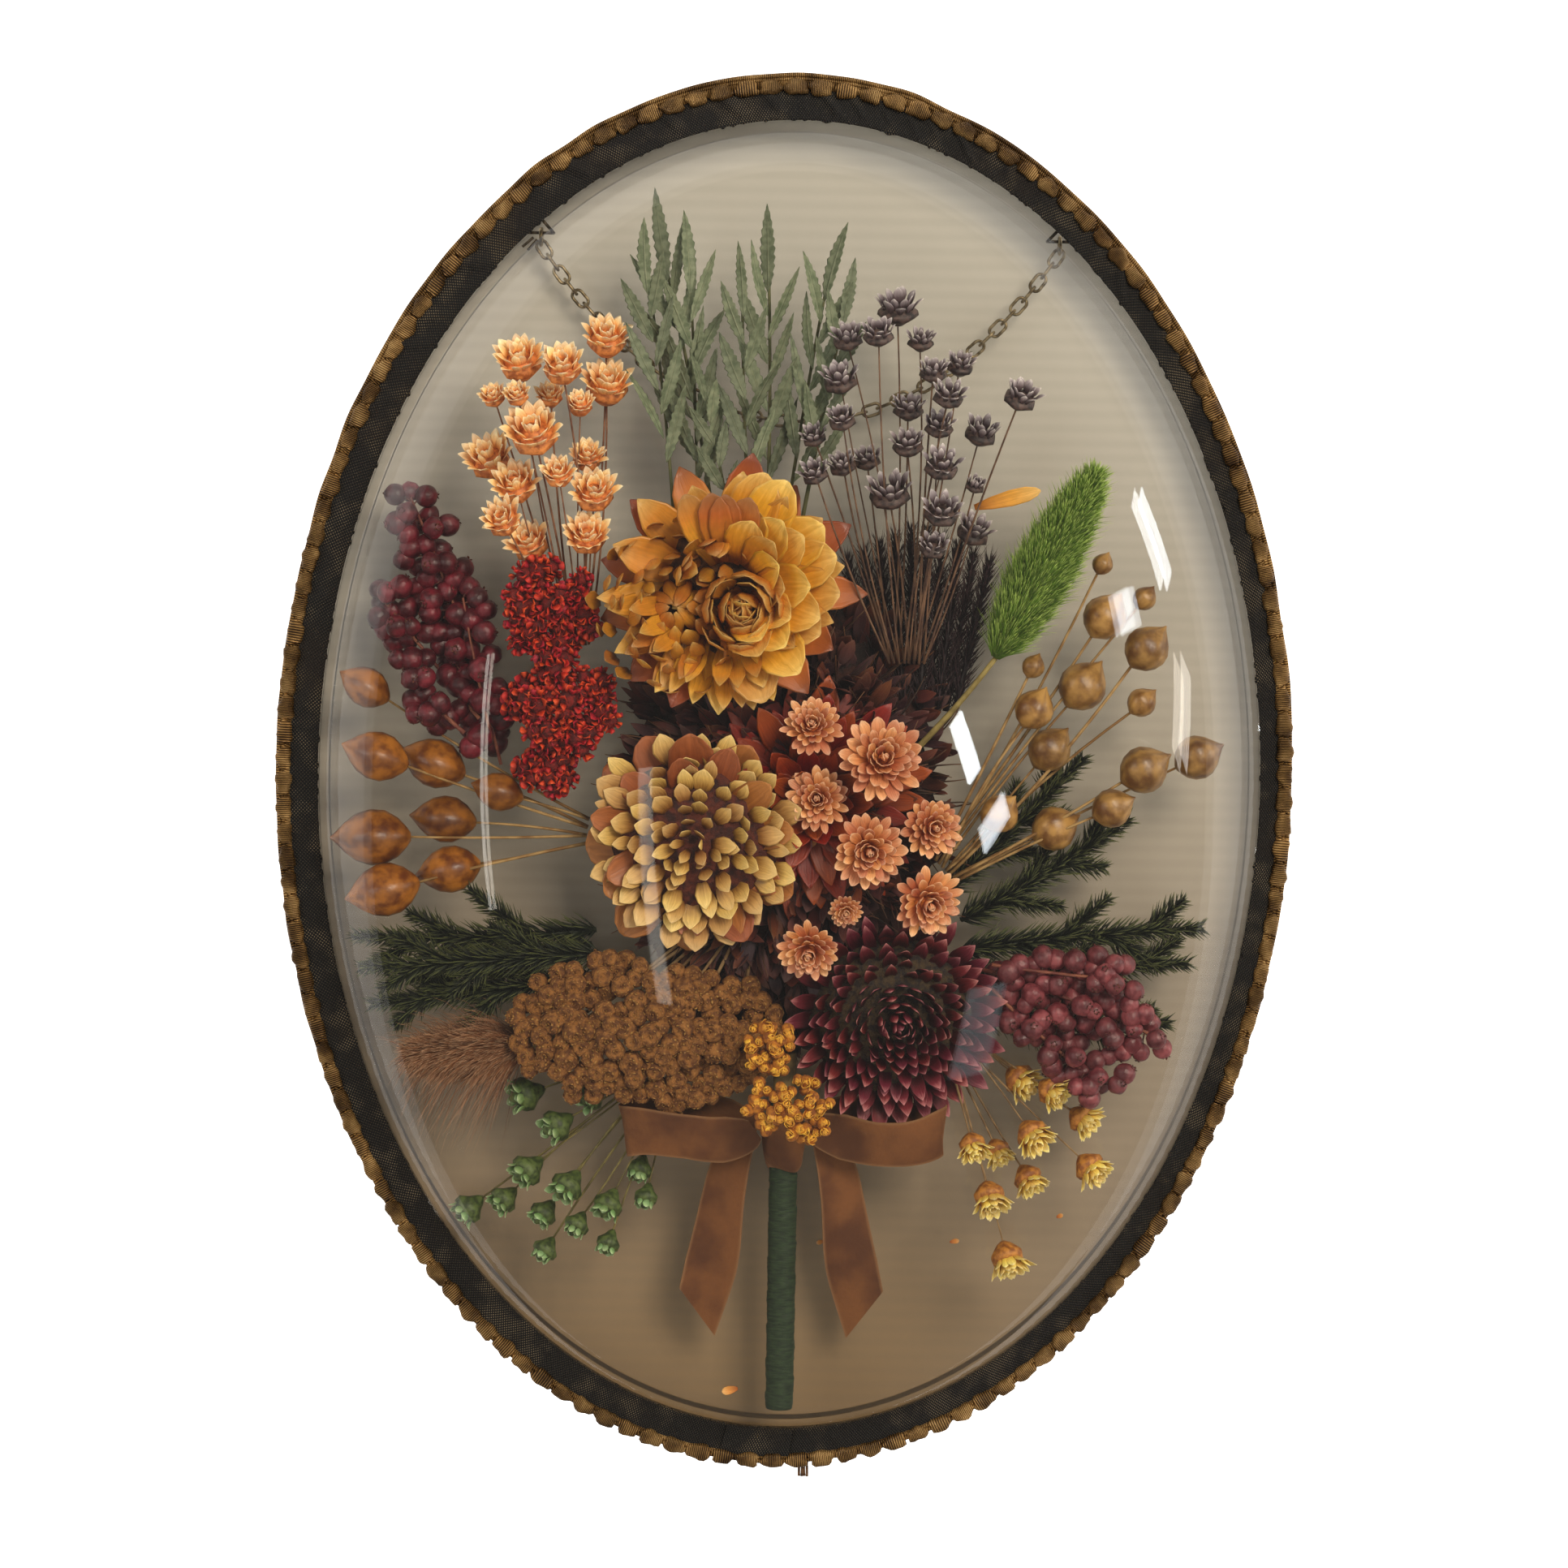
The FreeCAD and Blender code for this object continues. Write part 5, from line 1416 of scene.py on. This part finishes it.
def make_moss_sprigs():
    """Club moss: a drooping main twig with four side twigs, all set with needles."""
    look = needle_look("club_moss_needles", (27, 34, 16), (93, 99, 52))
    for number, side in enumerate(("left", "right")):
        random = np.random.default_rng(62 + number)
        shapes = Shapes()
        for solid in solids("moss_sprigs_" + side):
            start, end = solid.long_axis()
            run = end - start
            length = np.linalg.norm(run)
            sag = np.array([0, 0, -1.0]) * length * 0.05 * random.uniform(-0.4, 1)
            share = np.linspace(0, 1, 9)[:, None]
            path = start + run * share + sag * 4 * share * (1 - share) + sag * share
            add_tubes(shapes, path[None], np.linspace(0.5, 0.22, 9)[None] * MM, 6)
            add_needles(shapes, random, path, int(length / MM * 11), 4.3 * MM, 50, 0.25 * MM)
            for branch in range(4):
                where = 0.25 + 0.17 * branch + random.uniform(-0.04, 0.04)
                root = start + run * where + sag * 4 * where * (1 - where) + sag * where
                swing = math.radians(random.uniform(24, 40)) * (1 if branch % 2 else -1)
                heading = unit(run)
                turned = np.array([heading[0] * math.cos(swing) - heading[2] * math.sin(swing),
                                   heading[1] * 0.5,
                                   heading[0] * math.sin(swing) + heading[2] * math.cos(swing)])
                reach = length * random.uniform(0.24, 0.34) * (1.1 - 0.5 * where)
                twig = root + turned * reach * np.linspace(0, 1, 6)[:, None]
                add_tubes(shapes, twig[None], np.linspace(0.35, 0.18, 6)[None] * MM, 5)
                add_needles(shapes, random, twig, int(reach / MM * 11), 3.4 * MM, 50, 0.23 * MM)
        shapes.build("club_moss_" + side, [look], ["moss_sprigs_" + side])


def make_dark_bunch():
    """Dark dried stalks with bristles, longer at their tips."""
    random = np.random.default_rng(64)
    shapes = Shapes()
    for solid in solids("dark_dried_bunch"):
        start, end = sorted(solid.long_axis(), key=lambda point: point[2])
        share = np.linspace(0, 1, 7)[:, None]
        path = start + (end - start) * share
        add_tubes(shapes, path[None], np.linspace(0.7, 0.25, 7)[None] * MM, 6, 0.3)
        add_needles(shapes, random, path, 300, 4.0 * MM, 34, 0.14 * MM)
        add_needles(shapes, random, path[3:], 60, 6.0 * MM, 28, 0.09 * MM)
    shapes.build("dark_bristles", [needle_look("dark_bristle", (28, 16, 20), (70, 46, 50))],
                 ["dark_dried_bunch"])


def add_hairs(shapes, random, start, run, profile, count, length, lean, radius, droop):
    """Fine hairs on a spindle from start along run, at an angle of lean degrees to it, and drooping."""
    share = random.uniform(0, 0.93, count)
    turn = random.uniform(0, 2 * math.pi, count)
    axis = unit(run)
    right, top = square_to(axis)
    away = np.outer(np.cos(turn), right) + np.outer(np.sin(turn), top)
    body = np.interp(share / 0.93, profile[:, 0], profile[:, 1])
    base = start + np.outer(share, run) + away * body[:, None]
    angle = np.radians(lean + random.normal(0, 9, count))[:, None]
    out = axis * np.cos(angle) + away * np.sin(angle)
    size = length * random.uniform(0.45, 1.15, count)[:, None] * (1.1 - 0.45 * share[:, None])
    steps = np.array([0, 0.35, 0.7, 1.0])
    sag = -UP * droop * size[:, None] * (steps ** 2)[None, :, None]
    paths = base[:, None] + out[:, None] * (size[:, None] * steps[None, :, None]) + sag
    thickness = radius * np.array([1.2, 1.0, 0.8, 0.3])[None] * random.uniform(0.8, 1.3, (count, 1))
    kept = the_dome().holds(paths)
    add_tubes(shapes, paths[kept], thickness[kept], 3, random.uniform(0, 1, count)[kept])


def make_bunny_tails():
    """Grass heads: a soft core under fine hairs, with fewer and longer ones standing out of it.

    A coat of hairs is (count, length in mm, lean, radius in mm, droop).
    """
    for number, (side, core_colours, dark, light, coats) in enumerate((
        ("green", ((72, 96, 28), (107, 134, 48)), (90, 125, 37), (171, 195, 96),
         ((5200, 4.2, 30, 0.08, 0.0), (900, 6.0, 40, 0.05, 0.05))),
        ("brown", ((96, 61, 37), (134, 90, 57)), (131, 86, 55), (188, 147, 112),
         ((4600, 4.2, 36, 0.08, 0.1), (700, 13.0, 52, 0.04, 0.35))),
    )):
        random = np.random.default_rng(66 + number)
        solid = solids(side + "_bunny_tail")[0]
        start, end = solid.long_axis()
        run = end - start
        shapes = Shapes()
        shapes.finish = 1
        profile = np.array([(0, 0.16), (0.08, 0.46), (0.2, 0.7), (0.4, 0.84), (0.6, 0.8), (0.78, 0.6),
                            (0.92, 0.34), (1, 0.06)])
        profile = profile * np.array([1, solid.girth() * 0.8])
        add_bodies(shapes, start, start + run * 0.93, profile, 24, 0.04, 7)
        shapes.finish = 0
        for count, length, lean, radius, droop in coats:
            add_hairs(shapes, random, start, run, profile * np.array([1, 0.95]), count, length * MM, lean,
                      radius * MM, droop)
        core = plain_look(side + "_tail_core", *core_colours, 0.85, 1200.0, 0.4)
        shapes.build(side + "_tail_hairs", [needle_look(side + "_hair", dark, light), core],
                     [side + "_bunny_tail"])
    thin_stems("bunny_tail_stems", stem_look("grass_stem", (107, 92, 48), (151, 134, 77)), 0.5 * MM, 66)


# ---------------------------------------------------------------- ribbon, stem and filling
def velvet_look():
    """Brown velvet with a pile and a paler woven edge."""
    look = Look("velvet_ribbon", 0.85)
    _, across, _, _ = look.paint()
    edge = look.steps(look.math("ABSOLUTE", look.less(across, 0.5)), 0.43, 0.5)
    pile = look.noise(1500.0, 2.0)
    shade = look.noise(90.0, 3.0)
    base = look.mix(look.steps(shade, 0.35, 0.65), (84, 48, 20), (122, 76, 37))
    base = look.mix(look.times(pile, 0.35), base, (56, 29, 12))
    look.set(base=look.mix(look.times(edge, 0.75), base, (131, 94, 61)))
    look.surface.inputs["Sheen Weight"].default_value = 0.6
    look.surface.inputs["Sheen Roughness"].default_value = 0.4
    look.surface.inputs["Sheen Tint"].default_value = colour(167, 122, 84)
    look.bump(pile, 0.12 * MM)
    return look.material


RIBBON_WIDTH = 10.0 * MM
RIBBON_SECTION = np.array([(-1, -0.6), (-0.6, -1), (0, -1), (0.6, -1), (1, -0.6), (1, 0.6), (0.6, 1), (0, 1),
                           (-0.6, 1),
                           (-1, 0.6)], float)


def add_ribbon(path, face, name, material, node, half, skew=None):
    """A strip of ribbon along a path (points, 3), with its pile side to face.

    half is half the width at each point. skew shifts the two edges along the path, for a slanted end.
    """
    count = len(path)
    rings = swept(path[None], face[None], half[None], np.full((1, count), 0.2 * MM), RIBBON_SECTION)
    if skew is not None:
        heading = unit(np.gradient(path, axis=0))
        rings = rings + (heading * skew[:, None])[None, :, None] * RIBBON_SECTION[None, None, :, :1]
    shapes = Shapes()
    shapes.loft(rings, paint_for(1, np.linspace(0, 1, count), RIBBON_SECTION, 0.5, 0.5))
    piece = shapes.build(name, [material], [node], crease=math.radians(60))


def make_loop(side, name, velvet):
    """A loop of the bow: flattened, and opened to the front so that its inside shows above the front band."""
    low, high = box("ribbon_loop_" + name)
    centre, reach, depth = (low + high) / 2, (high - low)[0] / 2, (high - low)[1] / 2
    turn = np.linspace(-0.96 * math.pi, 0.96 * math.pi, 61)
    swell = np.where(np.cos(turn) > 0, np.abs(np.cos(turn)) ** 0.7, -np.abs(np.cos(turn)) ** 1.2)
    x = centre[0] + side * (reach * 0.97 * swell - 0.3 * MM)
    y = centre[1] - depth * 0.9 * np.sin(turn) * np.interp(np.cos(turn), [-1, 0.2, 1], [0.55, 1, 1])
    front = 0.5 + 0.5 * np.sin(turn)
    z = centre[2] - 2.4 * MM * (front - 0.5) + 0.7 * MM * np.sin(2.5 * turn + side)
    path = np.stack([x, y, z], axis=1)
    along = unit(np.gradient(path, axis=0))
    edge = unit(UP + 0.45 * FRONT * (2 * front - 1)[:, None]
                + np.outer(np.cos(3 * turn) * 0.12, (side, 0, 0)))
    face = unit(np.cross(along, edge))
    half = RIBBON_WIDTH / 2 * np.interp(np.abs(turn), [0, 2.2, 3.1], [0.94, 0.94, 0.5])
    add_ribbon(path, face, "velvet_loop_" + name, velvet, "ribbon_loop_" + name, half)


def make_tail(side, name, velvet):
    """A tail of the bow: it hangs outward with a soft fold, and is cut at a slant."""
    low, high = box("ribbon_tail_" + name)
    inner, outer = (high[0], low[0]) if side < 0 else (low[0], high[0])
    rows = np.linspace(0, 1, 36)
    x = between(inner + side * RIBBON_WIDTH * 0.42, outer - side * RIBBON_WIDTH * 0.32,
                rows) + side * 0.5 * MM * np.sin(2 * math.pi * rows)
    z = between(high[2] + 1.5 * MM, low[2] + 3.6 * MM, rows)
    y = between(low[1] + 0.5 * MM, high[1] - 1.2 * MM, rows) - 0.6 * MM * np.sin(1.7 * math.pi * rows)
    path = np.stack([x, y, z], axis=1)
    twist = 0.5 * np.sin(1.4 * math.pi * rows) * (1 - 0.5 * rows)
    face = unit(FRONT + np.outer(twist * side, (1, 0, 0)))
    half = RIBBON_WIDTH / 2 * np.interp(rows, [0, 0.1, 0.3, 0.75, 1.0], [0.55, 0.66, 0.82, 0.98, 0.94])
    skew = -side * 3.6 * MM * rows ** 8
    add_ribbon(path, face, "velvet_tail_" + name, velvet, "ribbon_tail_" + name, half, skew)


def make_bow():
    """The velvet bow: two loops, two tails and a knot."""
    velvet = velvet_look()
    for side, name in ((-1, "left"), (1, "right")):
        make_loop(side, name, velvet)
        make_tail(side, name, velvet)
    low, high = box("ribbon_knot")
    knot, half = (low + high) / 2, (high - low) / 2
    turn = turns(40)
    rings = []
    for share in np.linspace(-1, 1, 13):
        swell = 1 - 0.3 * share ** 4 + 0.06 * np.sin(4 * turn + 2.5 * share)
        rings.append(knot + np.stack([half[0] * 0.98 * swell * np.cos(turn),
                                      half[1] * 0.92 * swell * np.sin(turn),
                                      half[2] * 0.9 * share + 0.5 * MM * np.sin(2 * turn)], axis=1))
    shapes = Shapes()
    shapes.loft(np.array(rings)[None], np.full(4, 0.5))
    shapes.build("velvet_knot", [velvet], ["ribbon_knot"])


def make_stem():
    """The stem bound in crepe tape, wound in a shallow spiral."""
    random = np.random.default_rng(71)
    low, high = box("stem_tape")
    top = np.array([(low[0] + high[0]) / 2, 0, high[2]])
    radius = (high[0] - low[0]) / 2
    top[1] = low[1] + radius
    foot = np.array([top[0], high[1] - radius, low[2]])
    rows = 160
    share = np.linspace(0, 1, rows)
    turn = turns(28)
    centres = foot + (top - foot) * share[:, None]
    wrap = ((share[:, None] * 9 - turn[None] / (2 * math.pi)) % 1.0)
    swell = radius * (0.93 + 0.07 * wrap) + 0.05 * MM * random.normal(size=(rows, 28))
    swell = swell * np.interp(share, [0, 0.012, 1], [0.94, 1, 1])[:, None]
    rings = centres[:, None] + np.stack([swell * np.cos(turn), swell * np.sin(turn), np.zeros((rows, 28))],
                                        axis=-1)
    look = Look("crepe_tape", 0.72)
    along, across, _, _ = look.paint()
    crepe = look.noise(1.0, 3.0, look.vector(look.times(along, 150.0), look.times(across, 3.0), 0.0))
    base = look.mix(look.steps(crepe, 0.3, 0.7), (24, 37, 20), (48, 65, 37))
    look.set(base=look.mix(look.times(look.noise(220.0, 3.0), 0.4), base, (37, 53, 34)))
    look.bump(crepe, 0.2 * MM)
    shapes = Shapes()
    shapes.loft(rings[None], paint_for(1, share, round_section(28), 0.5, 0.5))
    shapes.build("crepe_bound_stem", [look.material], ["stem_tape"])
    coat("stem_core", stem_look("stem_core", (82, 68, 39), (128, 107, 66)))


def make_filling():
    """The dried bed under the flowers: a low dark cushion under layers of dead leaves and stalks."""
    random = np.random.default_rng(72)
    low, high = box("moss_core")
    centre, half = (low + high) / 2, (high - low) / 2
    spread = 0.76                        # the leaves reach past the cushion to the edge of its CAD solid
    around = turns(120)
    rows = []
    for tilt in np.linspace(0.03, math.pi / 2, 22):
        reach, rise = spread * math.sin(tilt) ** 0.7, math.cos(tilt) ** 0.7
        rough = 1 + 0.05 * wander(random, around, 30, 8, 60) * math.sin(tilt)
        y = high[1] - (high[1] - low[1]) * 0.6 * rise
        rows.append(oval(half[[0, 2], None] * reach * rough, centre[[0, 2]], y, around))
    shapes = Shapes()
    shapes.loft(np.array(rows)[None], np.full(4, 0.5))
    shapes.finish = 1
    count = 900
    share = random.uniform(0.1, 1, count) ** 0.6
    turn = random.uniform(0, 2 * math.pi, count)
    x, z = half[0] * spread * share * np.sin(turn), half[2] * spread * share * np.cos(turn)
    depth = high[1] - (high[1] - low[1]) * (0.2 + 0.6 * (1 - share ** 3)) * random.uniform(0.7, 1.1, count)
    base = np.stack([centre[0] + x, depth, centre[2] + z], axis=1)
    out = np.stack([x, np.full(count, -0.008), z], axis=1) + random.normal(0, 0.011, (count, 3))
    out[:, 1] = np.minimum(out[:, 1], 0)                # none points into the back glass
    out = unit(out)
    up = unit(FRONT + random.normal(0, 0.35, (count, 3)))
    up = unit(up - out * (up * out).sum(1)[:, None])
    add_petals(shapes, base, out, up, random.uniform(4, 9, count) * MM, random.uniform(1.6, 3.4, count) * MM,
               0.1,
               np.maximum(random.normal(0.1, 0.5, count), -0.2), POINTED, random.uniform(0, 1, count),
               random.uniform(0, 1, count), 0.3)
    shapes.finish = 2
    count = 500
    pick = random.integers(0, len(base), count)
    start = base[pick]
    end = start + out[pick] * random.uniform(6, 12, count)[:, None] * MM
    add_tubes(shapes, bowed(start, end, 0.1, 5, random), np.array([0.22, 0.2, 0.17, 0.12, 0.06])[None] * MM,
              4,
              random.uniform(0, 1, count))
    ground = plain_look("moss_bed", (26, 12, 9), (58, 28, 18), 0.9, 300.0, 0.6)
    leaves = petal_look("dead_leaves", [(0.0, (38, 16, 12)), (0.6, (84, 36, 20)), (1.0, (110, 56, 30))],
                        0.6, tones=[(0.0, (30, 16, 22)), (0.6, (56, 34, 40)), (1.0, (84, 58, 56))])
    shapes.build("moss_cushion", [ground, leaves, needle_look("moss_strands", (50, 30, 20), (104, 70, 44))],
                 ["moss_core"])
    coat("glue_pad", plain_look("dried_glue", (150, 128, 84), (196, 176, 128), 0.3, 200.0, 0.1))


def make_loose_petals():
    """A few petals that have fallen to the foot of the bouquet."""
    random = np.random.default_rng(73)
    shapes = Shapes()
    for solid in solids("loose_petals"):
        start, end = solid.long_axis()
        out = unit(end - start)[None]
        up = unit(FRONT - out[0] * (FRONT @ out[0]))[None]
        add_petals(shapes, start[None] + FRONT * 0.15 * MM, out, up, np.linalg.norm(end - start),
                   solid.girth() * 2.0, 0.05, 0.25,
                   ROUNDED, random.uniform(0, 1, 1), 0.5, 0.3)
    petals = petal_look("loose_petal_skin", [(0.0, (176, 92, 30)), (0.6, (226, 150, 62)),
                                             (1.0, (240, 184, 110))])
    shapes.build("fallen_petals", [petals], ["loose_petals"])


def main():
    camera = add_camera()
    add_stage()
    add_lights(camera, make_glasses())
    make_tape()
    make_braid()
    make_metals()
    make_star_bunches()
    make_golden()
    make_cream()
    make_burgundy()
    make_rust()
    make_peach()
    make_celosia()
    make_gold_florets()
    make_yarrow()
    make_berry_spray("burgundy", (60, 12, 22), (110, 30, 42), 44)
    make_berry_spray("rose", (82, 30, 36), (134, 68, 72), 45)
    make_pods()
    make_leaves()
    make_moss_sprigs()
    make_dark_bunch()
    make_bunny_tails()
    make_bow()
    make_stem()
    make_filling()
    make_loose_petals()


main()
